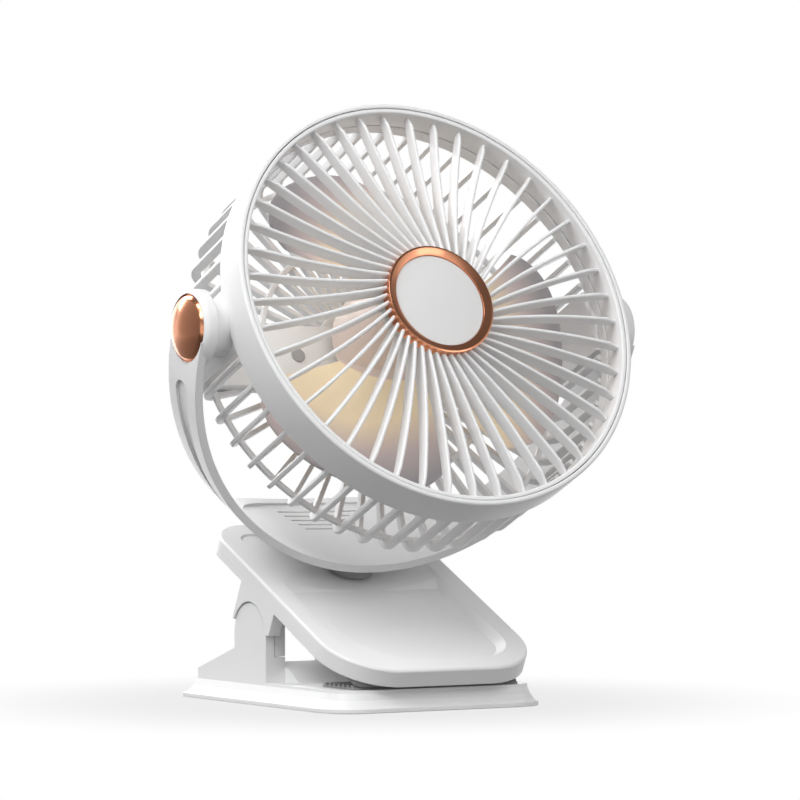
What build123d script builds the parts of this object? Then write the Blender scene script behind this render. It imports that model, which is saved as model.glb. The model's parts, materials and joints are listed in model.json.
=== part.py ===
from build123d import *
import math
import os

# A clip-on table fan, in millimetres. +Z is up, the fan blows towards -Y, and the origin is the
# middle of the sole that the fan stands on.

# Fits shared by all pieces
RUN_CLEARANCE = 0.05        # radial play of a shaft in its hole
SLIDE_GAP = 0.3             # gap between faces that move past each other
SEAT_GAP = 0.1              # gap between pieces of one casing
CUT_OVERRUN = 1.0           # how far a cutting shape runs past a face
FUSE_DEPTH = 0.5            # how far joined shapes of one piece reach into each other

# Lower jaw: a flared base plate with a hinge ear on each side
BASE_WIDTH = 101.0
BASE_LENGTH = 125.0
BASE_HEIGHT = 9.0
BASE_LIP = 1.6              # upright edge at the foot of the skirt
SKIRT_INSET = 4.5           # how far the skirt draws in above the lip
SKIRT_SHARES = ((0, 0), (0.4, 0.16), (0.75, 0.45), (1, 0.85))   # inset and height along the skirt
BASE_FRONT_CORNER = 16.0
BASE_REAR_CORNER = 1.5
BASE_WALL = 2.4
SOLE_THICK = 1.6
SOLE_PROUD = 0.3            # how far the sole stands below the base plate
SOLE_MARGIN = 3.0           # from the edge of the base to the edge of the sole
HINGE_Y = 13.4
HINGE_Z = 28.0
EAR_RADIUS = 12.8
EAR_THICK = 4.0
EAR_SHOULDER_Z = 22.0       # where the rear gusset meets the ear
EAR_TAIL_Z = 12.3           # height of the rear end of the gusset
RAMP_HEIGHT = 8.0           # ramp in the mouth, above the base plate
RAMP_REAR = 6.0             # rear face of the ramp, in front of the hinge axis
RAMP_RUN = 20.7             # slope of the ramp, from back to front
RAMP_SHOULDER_SHARES = ((0.37, 0.72), (0.76, 0.2))
RAMP_BROW_SHARE = 0.25      # fall over run at the top of the ramp
LEG_DEPTH = 3.5             # inner flange along the front of an ear
LEG_TOP = 19.2              # height of that flange
PIN_RADIUS = 2.5
PIN_IN_EAR = 2.4            # depth of the blind hole that holds the pin

# Spring between the jaws
SPRING_WIRE = 0.9           # radius of the wire
SPRING_RADIUS = 5.0         # from the axis to the middle of the wire
SPRING_PITCH = 2.6
SPRING_TURNS = 5
SPRING_TOP_LEG = 15.0
SPRING_LEG_FALL = 35.0      # degrees that the lower leg slopes down towards the back
ROD_RADIUS = 3.2
POST_THICK = 3.6
POST_RADIUS = 5.4

# Grip pads of the two jaws
PAD_MARGIN = 8.0            # from the side of the base plate's top to the pad
PAD_LENGTH = 24.0
PAD_THICK = 2.2
PAD_SEAT = 1.2              # depth of the pocket under the lower pad
PAD_FRONT = 3.0             # from the front of the base plate's top to the pad
PAD_RIBS = 7
PAD_RIB_HEIGHT = 0.8
PAD_RIB_SHARE = 0.5         # width of a rib over the pitch of the ribs
TIP_PAD_LENGTH = 18.0
TIP_PAD_THICK = 2.8
TIP_PAD_FRONT = 6.0         # from the tip of the tray to its pad

# Upper jaw: a sloping tray, measured along the slope from the swivel axis
JAW_SLOPE = 25.5            # degrees, falling towards the front
SWIVEL_BEHIND_HINGE = 10.6
RIM_OVER_HINGE = 24.2
TRAY_OVER_EAR = 0.7         # how far the tray stands out over the ears
TRAY_FRONT = 87.3
TRAY_REAR = 39.2
TRAY_THICK = 7.5
TRAY_FRONT_CORNER = 26.0
TRAY_REAR_CORNER = 15.0
TRAY_EDGE = 1.2             # rounding of the rim's outer edge
TRAY_WALL = 2.2
RIM_WIDTH = 9.0
DECK_DEPTH = 0.8            # rear deck under the rim
RECESS_DEPTH = 3.0          # front recess under the rim
RIDGE = 9.9                 # from the swivel axis forwards to the front of the deck
RIDGE_RUN = 6.0             # slope from the deck down to the front recess
RECESS_SLOPE = 48.0         # degrees that the recess walls lean out
TOP_PLATE = 2.2             # thickness of the tray under the recess
BOWL_DEPTH = 1.1
BOWL_REAR = 16.0            # from the swivel axis to the rear end of the bowl
BOWL_LENGTH = 59.0
LUG_HALF = 14.5             # half the width of a hinge lug
LUG_THICK = 4.6
LUG_EYE = 9.5
COVER_THICK = 1.3
BOX_WIDTH = 37.0            # battery box under the cover
BOX_FRONT = 22.0
BOX_REAR = 28.0
BOX_WALL = 1.5
BOX_OVER_SPRING = 0.3       # gap between the box and the spring's upper leg
CELL_GAP = 0.4
CELL_THICK = 7.0
SCREW_RADIUS = 1.2
SCREW_HEAD = 2.2
SCREW_HEAD_DEEP = 0.9
SCREW_LENGTH = 2.2
SCREW_SPREAD_X = 33.0
SCREW_FRONT = 60.0
SCREW_REAR = 22.0

# Back of the tray: circuit board, charging port and power button
BOARD_WIDTH = 50.0
BOARD_LENGTH = 9.0
BOARD_THICK = 0.8
BOARD_SET_BACK = 1.6        # from the outside of the tail to the board
PORT_X = 12.0
PORT_WIDTH = 8.9
PORT_HEIGHT = 3.2
PORT_DEPTH = 7.3
PORT_WALL = 0.35
PORT_CORNER_SHARE = 0.45    # corner radius of the port over its height
PORT_TONGUE_SHARE = 0.75    # tongue of the port over its depth
BUTTON_X = -12.0
BUTTON_WIDTH = 10.0
BUTTON_HEIGHT = 3.8
BUTTON_PROUD = 1.4
BUTTON_TRAVEL = 0.8
BUTTON_FLANGE = 0.8
BUTTON_GAP = 0.15
SWITCH_SIZE = 3.0
SWITCH_LENGTH = 2.0

# Yoke: a round U about the pivot axis, with a dish at its foot
YOKE_CLEARANCE = 9.6        # between the head's ring and the inside of the U
YOKE_WALL = 3.2
YOKE_OVER_TRAY = 5.4        # foot of the U over the rim of the tray
ARM_FRONT_EDGE = 14.0       # front edge of the arms, before the swivel axis
ARM_REAR_EDGE = 10.0        # rear edge of the arms, behind the swivel axis
FRONT_BULGE = 2.0           # how far the front edge swells at the foot
FRONT_BULGE_SPAN = 160.0
DISH_REACH = 44.3           # rear edge of the dish, behind the swivel axis
DISH_RADIUS = 60.0          # plan radius of the dish's rear edge
DISH_BLEND = 12.0           # rounding where the dish grows out of the arms
DISH_SINK = 0.9             # depth of the dish's floor under its rim
DISH_RIM = 4.0
SLIT_COUNT = 5
SLIT_PITCH = 3.8
SLIT_WIDTH = 1.0
SLIT_DEPTH = 0.5
SLIT_FIRST = 18.5           # from the swivel axis to the first slit
SLIT_FIRST_HALF = 14.0      # half-length of the first slit
SLIT_GROWTH = 1.6           # what each next slit adds to its half-length
GROOVE_WIDTH = 11.0         # drop-shaped groove on the outside of an arm
GROOVE_DEPTH = 1.2
GROOVE_TOP = 12.5           # degrees below the pivot
GROOVE_END = 48.0
BOSS_RADIUS = 15.2
BOSS_ROUND = 3.0            # rounding of the boss's outer edge
BOSS_THICK = 5.8
BOSS_SET_IN = 0.3           # outer face of the pivot boss, inside the U's outside
CAP_RADIUS = 13.3
CAP_DOME = 3.6
CAP_SEAT = 1.6              # depth of the cap's seat in the boss
SWIVEL_BOSS = 7.5
SWIVEL_RING = 9.8           # dark ring round the boss, on the deck
SWIVEL_NECK = 6.0
WASHER_RADIUS = 11.0
WASHER_THICK = 0.8
SWIVEL_SCREW = 2.0
SWIVEL_SCREW_HEAD = 4.2
SWIVEL_SCREW_DEEP = 1.6

# Head, measured along its own axis from the pivot axis, forwards
HEAD_TILT = 25.2            # degrees that the head looks up
HEAD_RADIUS = 88.2
HEAD_FRONT = 26.4           # front of the ring
HEAD_DEPTH = 58.9
RING_WALL = 2.0
RING_DEPTH = 17.2
RING_EDGE = 1.0
GRILLE_RIM = 1.8
GRILLE_RIM_DEPTH = 11.0
GRILLE_SET_BACK = 0.3       # grille rim behind the front of the ring
SPOKE_COUNT = 45
SPOKE_THICK = 1.45
SPOKE_DEPTH = 5.0
SPOKE_PHASE = 3.5           # degrees, rim end of the first spoke
SPOKE_SWEEP = 19.0          # degrees from the rim end to the hub end
SPOKE_BOW = 1.6             # how far a spoke bows from its chord
SPOKE_SET_BACK = 1.6        # front of the spokes behind the front of the ring
SPOKE_DIP = 1.3             # how much further back the rear of the spokes is at the hub
SPOKE_RISE = 1.3            # how much further forward the front of the spokes is at the hub
SPOKE_CHAMFER = 5.0
TRIM_RADIUS = 23.4          # rose-gold ring round the hub
TRIM_WALL = 3.6
TRIM_PROUD = 1.9            # trim in front of the ring's front
TRIM_BEVEL = 1.3
TRIM_HEIGHT = 6.0
DISC_RECESS = 1.4           # hub disc behind the trim's front
HUB_THICK = 5.0
TRUNNION_RADIUS = 6.0       # pivot journal that runs in the yoke's boss
PIVOT_WASHER_LAP = 2.0      # how far the pivot screw's head laps over the boss
NECK_RADIUS = 11.2
RIB_COUNT = 48
RIB_THICK = 2.0
RIB_DEPTH = 3.8
RIB_BEND = 8.0              # middle radius of the bend at the back
COLLAR_WALL = 2.2
COLLAR_LAP = 5.4            # collar of the guard inside the front ring
CHEEK_ANGLE = 9.0           # half-angle of the plain wall at each pivot, degrees
HOOP_WIDTH = 2.4
HOOP_THICK = 2.0
HOOP_INSET = 5.6            # outer hoop, inside the outside of the ribs
HOOP_LIFT = 1.6             # outer hoop, forward of the inside of the ribs
MID_HOOP_RADIUS = 52.0
REAR_HUB_RADIUS = 26.0
REAR_HUB_THICK = 4.6
ARM_COVER_HALF = 13.0       # half-width of the wire arm from the left pivot to the motor
ARM_COVER_THICK = 1.6
ARM_FLOOR = 2.0
PLUG_RADIUS = 3.0
PLUG_PROUD = 0.8
PLUG_FROM_AXIS = 38.0
REAR_CAP_RADIUS = 22.0
REAR_CAP_THICK = 3.0

# Motor and impeller
MOTOR_RADIUS = 19.0
MOTOR_LENGTH = 17.5
MOTOR_WALL = 1.5
STATOR_WALL = 7.0
MAGNET_RADIUS = 8.6
MAGNET_GAP = 0.5
SHAFT_RADIUS = 1.5
BUSH_RADIUS = 4.0
BUSH_LENGTH = 3.0
MOTOR_SCREW_CIRCLE = 13.0
MOTOR_SCREWS = 3
BLADE_COUNT = 3
BLADE_CLEARANCE = 6.35      # between the blade tips and the ribs
BLADE_THICK = 1.7
BLADE_SPAN_TIP = 77.0       # degrees of turn that a blade covers
BLADE_SPAN_ROOT = 66.0
BLADE_SWEEP = 3.5           # degrees that the tip runs ahead of the root
BLADE_RISE_ROOT = 24.0
BLADE_RISE_TIP = 25.0
BLADE_MIDDLE = -4.5         # middle of the blades, forward of the pivot axis
BLADE_CAMBER = -3.0         # bow of the blades, forwards
BLADE_ROUND_SHARE = 0.2     # how much the blade's corners fall short of the tip circle
BLADE_PHASE = -12.0         # degrees, middle of the first blade's root
IMPELLER_HUB_FRONT = 17.0
IMPELLER_HUB_REAR = 25.0
IMPELLER_SKIRT = 8.0        # how far the hub reaches back over the motor
IMPELLER_WALL = 2.0
IMPELLER_FRONT = 12.5
IMPELLER_GAP = 1.2          # between the impeller's hub and the motor

# Frames worked out from the sizes above
YOKE_RADIUS = HEAD_RADIUS + YOKE_CLEARANCE + YOKE_WALL
PIVOT_HEIGHT = YOKE_RADIUS + YOKE_OVER_TRAY
SLOPE_COS = math.cos(math.radians(JAW_SLOPE))
SLOPE_SIN = math.sin(math.radians(JAW_SLOPE))
TILT_COS = math.cos(math.radians(HEAD_TILT))
TILT_SIN = math.sin(math.radians(HEAD_TILT))
JAW_ORIGIN = Vector(
    0,
    HINGE_Y + SWIVEL_BEHIND_HINGE * SLOPE_COS - RIM_OVER_HINGE * SLOPE_SIN,
    HINGE_Z + SWIVEL_BEHIND_HINGE * SLOPE_SIN + RIM_OVER_HINGE * SLOPE_COS,
)
JAW_FRAME = Plane(JAW_ORIGIN, x_dir=(1, 0, 0), z_dir=(0, -SLOPE_SIN, SLOPE_COS))
PIVOT = JAW_ORIGIN + Vector(0, -SLOPE_SIN, SLOPE_COS) * PIVOT_HEIGHT
YOKE_FRAME = Plane(PIVOT, x_dir=(1, 0, 0), z_dir=(0, -SLOPE_SIN, SLOPE_COS))
HEAD_FRAME = Plane(PIVOT, x_dir=(1, 0, 0), z_dir=(0, -TILT_COS, TILT_SIN))

# Places shared by several pieces
PLATE_FOOT = SOLE_PROUD
EAR_OUTSIDE = BASE_WIDTH / 2 - SKIRT_INSET
EAR_INSIDE = EAR_OUTSIDE - EAR_THICK
TRAY_WIDTH = 2 * (EAR_OUTSIDE + TRAY_OVER_EAR)
PAD_WIDTH = BASE_WIDTH - 2 * (SKIRT_INSET + PAD_MARGIN)
LUG_OUTSIDE = EAR_INSIDE - SLIDE_GAP
LUG_INSIDE = LUG_OUTSIDE - LUG_THICK
TOP_PLATE_FOOT = -RECESS_DEPTH - TOP_PLATE
COVER_TOP = COVER_THICK - TRAY_THICK
BOX_FOOT = -RIM_OVER_HINGE + SPRING_RADIUS + SPRING_WIRE + BOX_OVER_SPRING
BOARD_FOOT = COVER_TOP + SEAT_GAP
HEAD_BACK = HEAD_FRONT - HEAD_DEPTH
RING_BACK = HEAD_FRONT - RING_DEPTH
RING_BORE = HEAD_RADIUS - RING_WALL
COLLAR_RADIUS = RING_BORE - SEAT_GAP
RIM_RADIUS = RING_BORE - SLIDE_GAP
RIM_BORE = RIM_RADIUS - GRILLE_RIM
TRIM_FRONT = HEAD_FRONT + TRIM_PROUD
TRIM_BACK = TRIM_FRONT - TRIM_HEIGHT
HUB_BACK = TRIM_BACK - HUB_THICK
REAR_HUB_FRONT = HEAD_BACK + REAR_HUB_THICK
MOTOR_FRONT = REAR_HUB_FRONT + MOTOR_LENGTH
BLADE_TIP = COLLAR_RADIUS - RIB_DEPTH - BLADE_CLEARANCE
BOSS_FACE = YOKE_RADIUS - BOSS_SET_IN
BOSS_BACK = BOSS_FACE - BOSS_THICK
CAP_SEAT_X = BOSS_FACE - CAP_SEAT
NECK_END = BOSS_BACK - SLIDE_GAP
ARM_FRONT = HEAD_BACK + REAR_HUB_THICK + ARM_FLOOR


def ring(outer, inner, low, high):
    """A plain ring about the Z axis."""
    return Pos(0, 0, low) * extrude(Circle(outer) - Circle(inner), amount=high - low)


def disc(radius, low, high):
    """A plain disc about the Z axis."""
    return Pos(0, 0, low) * extrude(Circle(radius), amount=high - low)


def turned(points):
    """A solid turned about the Z axis from an outline of (radius, height) points."""
    outline = Polyline(*points, close=True)
    return revolve(Plane.XZ * make_face(outline), axis=Axis.Z)


def cross_bar(sketch, left, right):
    """A side-view sketch, in (Y, Z), carried along X from left to right."""
    return Pos(left, 0, 0) * extrude(Plane.YZ * sketch, amount=right - left)


def pin_x(radius, left, right):
    """A round bar along the X axis."""
    return cross_bar(Circle(radius), left, right)


def box(low, high):
    """A box between two corners."""
    size = Vector(*high) - Vector(*low)
    middle = (Vector(*high) + Vector(*low)) * 0.5
    return Pos(*middle) * Box(size.X, size.Y, size.Z)


def jaw_outline(width, front, rear, front_corner, rear_corner):
    """A plate outline with one corner size at the front and another at the rear."""
    plate = Pos(0, (rear + front) / 2) * Rectangle(width, rear - front)
    plate = fillet(plate.vertices().sort_by(Axis.Y)[:2], front_corner)
    return fillet(plate.vertices().sort_by(Axis.Y)[-2:], rear_corner)


def mirrored_pair(shape):
    """A shape and its copy on the other side of the middle plane."""
    return [shape, mirror(shape, about=Plane.YZ)]


def base_outline(inset):
    """The outline of the base plate, drawn in by an inset."""
    half = BASE_LENGTH / 2 - inset
    return jaw_outline(BASE_WIDTH - 2 * inset, -half, half, BASE_FRONT_CORNER - inset, BASE_REAR_CORNER)


def ear_sketch():
    """Side view of a hinge ear: round top, upright front and a gusset running to the rear."""
    foot = BASE_HEIGHT - FUSE_DEPTH
    front = HINGE_Y - EAR_RADIUS
    back = HINGE_Y + EAR_RADIUS
    tail = BASE_LENGTH / 2 - SKIRT_INSET - BASE_REAR_CORNER
    outline = [(tail, foot), (tail, EAR_TAIL_Z), (back, EAR_SHOULDER_Z), (back, HINGE_Z)]
    outline += [(front, HINGE_Z), (front, foot)]
    return make_face(Polyline(*outline, close=True)) + Pos(HINGE_Y, HINGE_Z) * Circle(EAR_RADIUS)


def ramp_sketch():
    """Side view of the ramp in the mouth, which falls softly to the front."""
    foot = BASE_HEIGHT - FUSE_DEPTH
    top = BASE_HEIGHT + RAMP_HEIGHT
    rear = HINGE_Y - RAMP_REAR
    toe = rear - RAMP_RUN
    shoulder = [(rear - RAMP_RUN * x, BASE_HEIGHT + RAMP_HEIGHT * z) for x, z in RAMP_SHOULDER_SHARES]
    brow_way = (-1, -RAMP_BROW_SHARE)
    slope = Spline((rear, top), *shoulder, (toe, BASE_HEIGHT), tangents=(brow_way, (-1, 0)))
    rest = Polyline((toe, BASE_HEIGHT), (toe, foot), (rear, foot), (rear, top))
    return make_face(Curve() + [slope, rest])


def post_sketch():
    """Side view of a spring post: an upright with a round head about the hinge axis."""
    foot = BASE_HEIGHT - FUSE_DEPTH
    middle = (foot + HINGE_Z) / 2
    upright = Pos(HINGE_Y, middle) * Rectangle(2 * POST_RADIUS, HINGE_Z - foot)
    return upright + Pos(HINGE_Y, HINGE_Z) * Circle(POST_RADIUS)


def spring_half():
    """Half the room that the coil takes between the two posts."""
    return SPRING_PITCH * (SPRING_TURNS + 1) / 2 + SPRING_WIRE


def pad_place():
    """Front and rear edge of the lower grip pad."""
    front = -BASE_LENGTH / 2 + SKIRT_INSET + PAD_FRONT
    return front, front + PAD_LENGTH


def make_base_plate():
    """The lower jaw: skirt, platform, ears, ramp and spring posts, hollow from below."""
    plate = Pos(0, 0, PLATE_FOOT) * extrude(base_outline(0), amount=BASE_LIP)
    plate += base_skirt()
    hollow = base_outline(SKIRT_INSET + BASE_WALL)
    plate -= Pos(0, 0, -CUT_OVERRUN) * extrude(hollow, amount=BASE_HEIGHT - BASE_WALL + CUT_OVERRUN)
    sole_cut = base_outline(SOLE_MARGIN - SEAT_GAP)
    plate -= Pos(0, 0, -CUT_OVERRUN) * extrude(sole_cut, amount=SOLE_THICK + CUT_OVERRUN)
    plate += mirrored_pair(cross_bar(ear_sketch(), EAR_INSIDE, EAR_OUTSIDE))
    plate += cross_bar(ramp_sketch(), -LUG_INSIDE, LUG_INSIDE)
    ear_front = HINGE_Y - EAR_RADIUS
    leg = box((LUG_INSIDE, ear_front, BASE_HEIGHT - FUSE_DEPTH), (EAR_OUTSIDE, ear_front + LEG_DEPTH, LEG_TOP))
    plate += mirrored_pair(leg)
    inner = spring_half() + SLIDE_GAP
    plate += mirrored_pair(cross_bar(post_sketch(), inner, inner + POST_THICK))
    front, rear = pad_place()
    half_pad = PAD_WIDTH / 2 + SEAT_GAP
    pocket_foot = BASE_HEIGHT - PAD_SEAT
    plate -= box((-half_pad, front - SEAT_GAP, pocket_foot),
                 (half_pad, rear + SEAT_GAP, BASE_HEIGHT + CUT_OVERRUN))
    hinge = Pos(0, HINGE_Y, HINGE_Z)
    pin_hole = hinge * pin_x(PIN_RADIUS, EAR_INSIDE - CUT_OVERRUN, EAR_INSIDE + PIN_IN_EAR)
    plate -= mirrored_pair(pin_hole)
    return plate - hinge * pin_x(ROD_RADIUS, -EAR_INSIDE, EAR_INSIDE)


def base_skirt():
    """The flared skirt from the lip up to the platform, and the platform's upright edge."""
    shelf = PLATE_FOOT + BASE_LIP
    rise = BASE_HEIGHT - shelf
    rings = [Pos(0, 0, shelf + rise * z) * base_outline(SKIRT_INSET * x) for x, z in SKIRT_SHARES]
    rings.append(Pos(0, 0, BASE_HEIGHT) * base_outline(SKIRT_INSET))
    return loft(rings, ruled=True)


def make_base_sole():
    """The rubber sole let into the underside of the base plate."""
    return extrude(base_outline(SOLE_MARGIN), amount=SOLE_THICK - SEAT_GAP)


def make_lower_grip_pad():
    """The ribbed rubber pad in the front of the lower jaw."""
    front, rear = pad_place()
    foot = BASE_HEIGHT - PAD_SEAT
    top = foot + PAD_THICK
    pad = box((-PAD_WIDTH / 2, front, foot), (PAD_WIDTH / 2, rear, top))
    pitch = PAD_LENGTH / PAD_RIBS
    margin = (pitch - pitch * PAD_RIB_SHARE) / 2
    ribs = []
    for index in range(PAD_RIBS):
        start = front + index * pitch + margin
        end = start + pitch * PAD_RIB_SHARE
        ribs.append(box((-PAD_WIDTH / 2, start, top - FUSE_DEPTH), (PAD_WIDTH / 2, end, top + PAD_RIB_HEIGHT)))
    return pad + ribs


def make_hinge_pins():
    """The two short steel pins that the upper jaw turns on."""
    pin = pin_x(PIN_RADIUS, LUG_INSIDE - SLIDE_GAP, EAR_INSIDE + PIN_IN_EAR)
    return Compound(children=mirrored_pair(Pos(0, HINGE_Y, HINGE_Z) * pin))


def make_spring_rod():
    """The steel rod through the two posts, inside the spring."""
    reach = spring_half() + SLIDE_GAP + POST_THICK
    return Pos(0, HINGE_Y, HINGE_Z) * pin_x(ROD_RADIUS, -reach, reach)


def biarc(start, start_way, end, end_way):
    """Two arcs that leave start along start_way and reach end along end_way."""
    span = end - start
    ways = start_way + end_way
    a = 2 * start_way.dot(end_way) - 2
    b = -2 * span.dot(ways)
    c = span.dot(span)
    reach = (-b - math.sqrt(b * b - 4 * a * c)) / (2 * a)
    join = (start + start_way * reach + end - end_way * reach) * 0.5
    first = Edge.make_tangent_arc(start, start_way, join)
    return [first, Edge.make_tangent_arc(join, first % 1, end)]


def spring_point(turn):
    """Middle of the wire and its direction, a number of turns along the coil."""
    angle = math.radians(JAW_SLOPE + 90 + 360 * turn)
    total = SPRING_TURNS + spring_extra_turn()
    x = (turn - total / 2) * SPRING_PITCH
    place = Vector(x, HINGE_Y + SPRING_RADIUS * math.cos(angle), HINGE_Z + SPRING_RADIUS * math.sin(angle))
    round_way = 2 * math.pi * SPRING_RADIUS
    way = Vector(SPRING_PITCH, -round_way * math.sin(angle), round_way * math.cos(angle))
    return place, way.normalized()


def spring_extra_turn():
    """Part of a turn that takes the coil from its upper leg round to its lower leg."""
    return (180 - JAW_SLOPE - SPRING_LEG_FALL) / 360


def spring_path():
    """The upper leg, the coil of quarter-turn biarcs and the lower leg."""
    total = SPRING_TURNS + spring_extra_turn()
    steps = math.ceil(total * 4)
    places = [spring_point(total * index / steps) for index in range(steps + 1)]
    start, start_way = places[0]
    end, end_way = places[-1]
    floor = BASE_HEIGHT + SPRING_WIRE + SLIDE_GAP
    lower_leg = (floor - end.Z) / end_way.Z
    edges = [Edge.make_line(start - start_way * SPRING_TOP_LEG, start)]
    for (one, one_way), (two, two_way) in zip(places, places[1:]):
        edges += biarc(one, one_way, two, two_way)
    edges.append(Edge.make_line(end, end + end_way * lower_leg))
    return edges


def least_coil_gap():
    """Least gap between the wire of one turn and the wire of the next, measured on points."""
    count = 24
    total = SPRING_TURNS + spring_extra_turn()
    points = [spring_point(step / count)[0] for step in range(int(total * count) + 1)]
    half = count // 2
    gaps = [(points[i] - points[j]).length for i in range(len(points)) for j in range(i + half, len(points))]
    return min(gaps) - 2 * SPRING_WIRE


def make_clip_spring():
    """The torsion spring that presses the jaws together, one unbroken wire."""
    edges = spring_path()
    section = Plane(edges[0] @ 0, z_dir=edges[0] % 0) * Circle(SPRING_WIRE)
    spring = sweep(section, path=Wire(edges))
    length = sum(edge.length for edge in edges)
    print("spring: least gap", round(least_coil_gap(), 2), "mm, wire length", round(length, 1),
          "mm, volume share", round(spring.volume / (math.pi * SPRING_WIRE ** 2 * length), 3))
    return spring


def tray_outline(inset):
    """The outline of the tray, drawn in by an inset."""
    front_corner = TRAY_FRONT_CORNER - inset
    rear_corner = TRAY_REAR_CORNER - inset
    return jaw_outline(TRAY_WIDTH - 2 * inset, inset - TRAY_FRONT, TRAY_REAR - inset, front_corner, rear_corner)


def lug_skin_sketch():
    """Side view of a lug's outer skin in the tray's frame: a straight tongue down to the hinge."""
    top = TOP_PLATE_FOOT + FUSE_DEPTH
    height = top + RIM_OVER_HINGE
    return Pos(-SWIVEL_BEHIND_HINGE, top - height / 2) * Rectangle(2 * LUG_HALF, height)


def tray_place(y, z):
    """A point of the side view, (Y, Z), in the tray's frame as it rests."""
    y -= JAW_ORIGIN.Y
    z -= JAW_ORIGIN.Z
    return y * SLOPE_COS + z * SLOPE_SIN, z * SLOPE_COS - y * SLOPE_SIN


def lug_tab_sketch():
    """Side view of a lug's inner tab: its front stands upright over the ear's flange, with a round eye."""
    top = TOP_PLATE_FOOT + FUSE_DEPTH
    foot = tray_place(HINGE_Y - EAR_RADIUS, LEG_TOP + SLIDE_GAP)
    under = tray_place(HINGE_Y, LEG_TOP + SLIDE_GAP)
    climb = (top - foot[1]) / SLOPE_COS
    front_top = (foot[0] + climb * SLOPE_SIN, top)
    rear = LUG_HALF - SWIVEL_BEHIND_HINGE
    outline = [foot, under, (rear, -RIM_OVER_HINGE), (rear, top), front_top]
    eye = Pos(-SWIVEL_BEHIND_HINGE, -RIM_OVER_HINGE) * Circle(LUG_EYE)
    return make_face(Polyline(*outline, close=True)) + eye


def ear_room_sketch():
    """Side view, in the tray's frame, of what the ear needs beside the lug as the jaw opens."""
    far = RIM_OVER_HINGE + EAR_RADIUS
    level = math.tan(math.radians(JAW_SLOPE)) * far
    wedge = make_face(Polyline((0, 0), (far, 0), (far, -far), (-far, -far), (-far, level), close=True))
    hinge = Pos(-SWIVEL_BEHIND_HINGE, -RIM_OVER_HINGE)
    return hinge * (wedge + Circle(EAR_RADIUS + SLIDE_GAP))


def tail_slot(x, width, height, foot, deep):
    """A slot cut forwards into the tail of the tray."""
    return box((x - width / 2, TRAY_REAR - deep, foot), (x + width / 2, TRAY_REAR + CUT_OVERRUN, foot + height))


def recess():
    """The recess with sloping walls: shallow on the rear deck, deeper in front of the ridge."""
    whole = extrude(tray_outline(RIM_WIDTH), amount=-RECESS_DEPTH, taper=RECESS_SLOPE)
    low = -2 * RECESS_DEPTH
    slope_foot = -RIDGE - RIDGE_RUN
    outline = [(-RIDGE, -DECK_DEPTH), (TRAY_REAR, -DECK_DEPTH), (TRAY_REAR, low), (slope_foot, low),
               (slope_foot, -RECESS_DEPTH)]
    deck = cross_bar(make_face(Polyline(*outline, close=True)), -TRAY_WIDTH, TRAY_WIDTH)
    return whole - deck


def bowl():
    """A shallow round bowl in the floor of the tray's recess, part of a large ball."""
    half = BOWL_LENGTH / 2
    radius = (half * half + BOWL_DEPTH * BOWL_DEPTH) / (2 * BOWL_DEPTH)
    middle = Pos(0, -BOWL_REAR - half, radius - RECESS_DEPTH - BOWL_DEPTH)
    return middle * Sphere(radius) & tray_recess_room()


def tray_recess_room():
    """The block of space over the recess floor that the bowl may cut."""
    floor = tray_outline(RIM_WIDTH + RECESS_DEPTH)
    return Pos(0, 0, -TRAY_THICK) * extrude(floor, amount=TRAY_THICK)


def screw_places():
    """The four places of the cover screws, in the tray's frame."""
    return [(x, y) for y in (-SCREW_FRONT, SCREW_REAR) for x in (-SCREW_SPREAD_X, SCREW_SPREAD_X)]


def make_tray():
    """The upper jaw's shell: rim, recess with its bowl, hinge lugs, screw bosses and tail openings."""
    shell = Pos(0, 0, -TRAY_THICK) * extrude(tray_outline(0), amount=TRAY_THICK)
    shell = fillet(shell.faces().sort_by(Axis.Z)[-1].outer_wire().edges(), TRAY_EDGE)
    shell -= recess()
    shell -= bowl()
    inside = TOP_PLATE_FOOT + TRAY_THICK
    shell -= Pos(0, 0, -TRAY_THICK) * extrude(tray_outline(TRAY_WALL), amount=inside)
    for x, y in screw_places():
        boss = disc(SCREW_HEAD, COVER_TOP + SEAT_GAP, TOP_PLATE_FOOT + FUSE_DEPTH)
        shell += Pos(x, y) * boss
        shell -= Pos(x, y) * disc(SCREW_RADIUS, COVER_TOP, COVER_TOP + SCREW_LENGTH)
    lug = cross_bar(lug_skin_sketch(), LUG_OUTSIDE - FUSE_DEPTH, TRAY_WIDTH / 2)
    lug -= cross_bar(ear_room_sketch(), LUG_OUTSIDE - CUT_OVERRUN, TRAY_WIDTH)
    lug += cross_bar(lug_tab_sketch(), LUG_INSIDE, LUG_OUTSIDE)
    eye = Pos(0, -SWIVEL_BEHIND_HINGE, -RIM_OVER_HINGE)
    lug -= eye * pin_x(PIN_RADIUS + RUN_CLEARANCE, 0, TRAY_WIDTH)
    shell += mirrored_pair(lug)
    shell -= disc(SWIVEL_NECK + RUN_CLEARANCE, -TRAY_THICK, CUT_OVERRUN)
    port_foot = BOARD_FOOT + BOARD_THICK
    room = 2 * SEAT_GAP
    shell -= tail_slot(PORT_X, PORT_WIDTH + room, PORT_HEIGHT + room, port_foot - SEAT_GAP, PORT_DEPTH + TRAY_WALL)
    shell -= tail_slot(BUTTON_X, BUTTON_WIDTH + 2 * BUTTON_GAP, BUTTON_HEIGHT + 2 * BUTTON_GAP,
                       button_foot() - BUTTON_GAP, 2 * TRAY_WALL)
    flange_room = tail_slot(BUTTON_X, flange_width() + 4 * BUTTON_GAP, flange_height() + 4 * BUTTON_GAP,
                            flange_foot() - 2 * BUTTON_GAP, RIM_WIDTH)
    inner_block = box((-TRAY_WIDTH, -TRAY_FRONT, -2 * TRAY_THICK), (TRAY_WIDTH, TRAY_REAR - TRAY_WALL, 0))
    shell -= flange_room & inner_block
    return JAW_FRAME * shell


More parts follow.
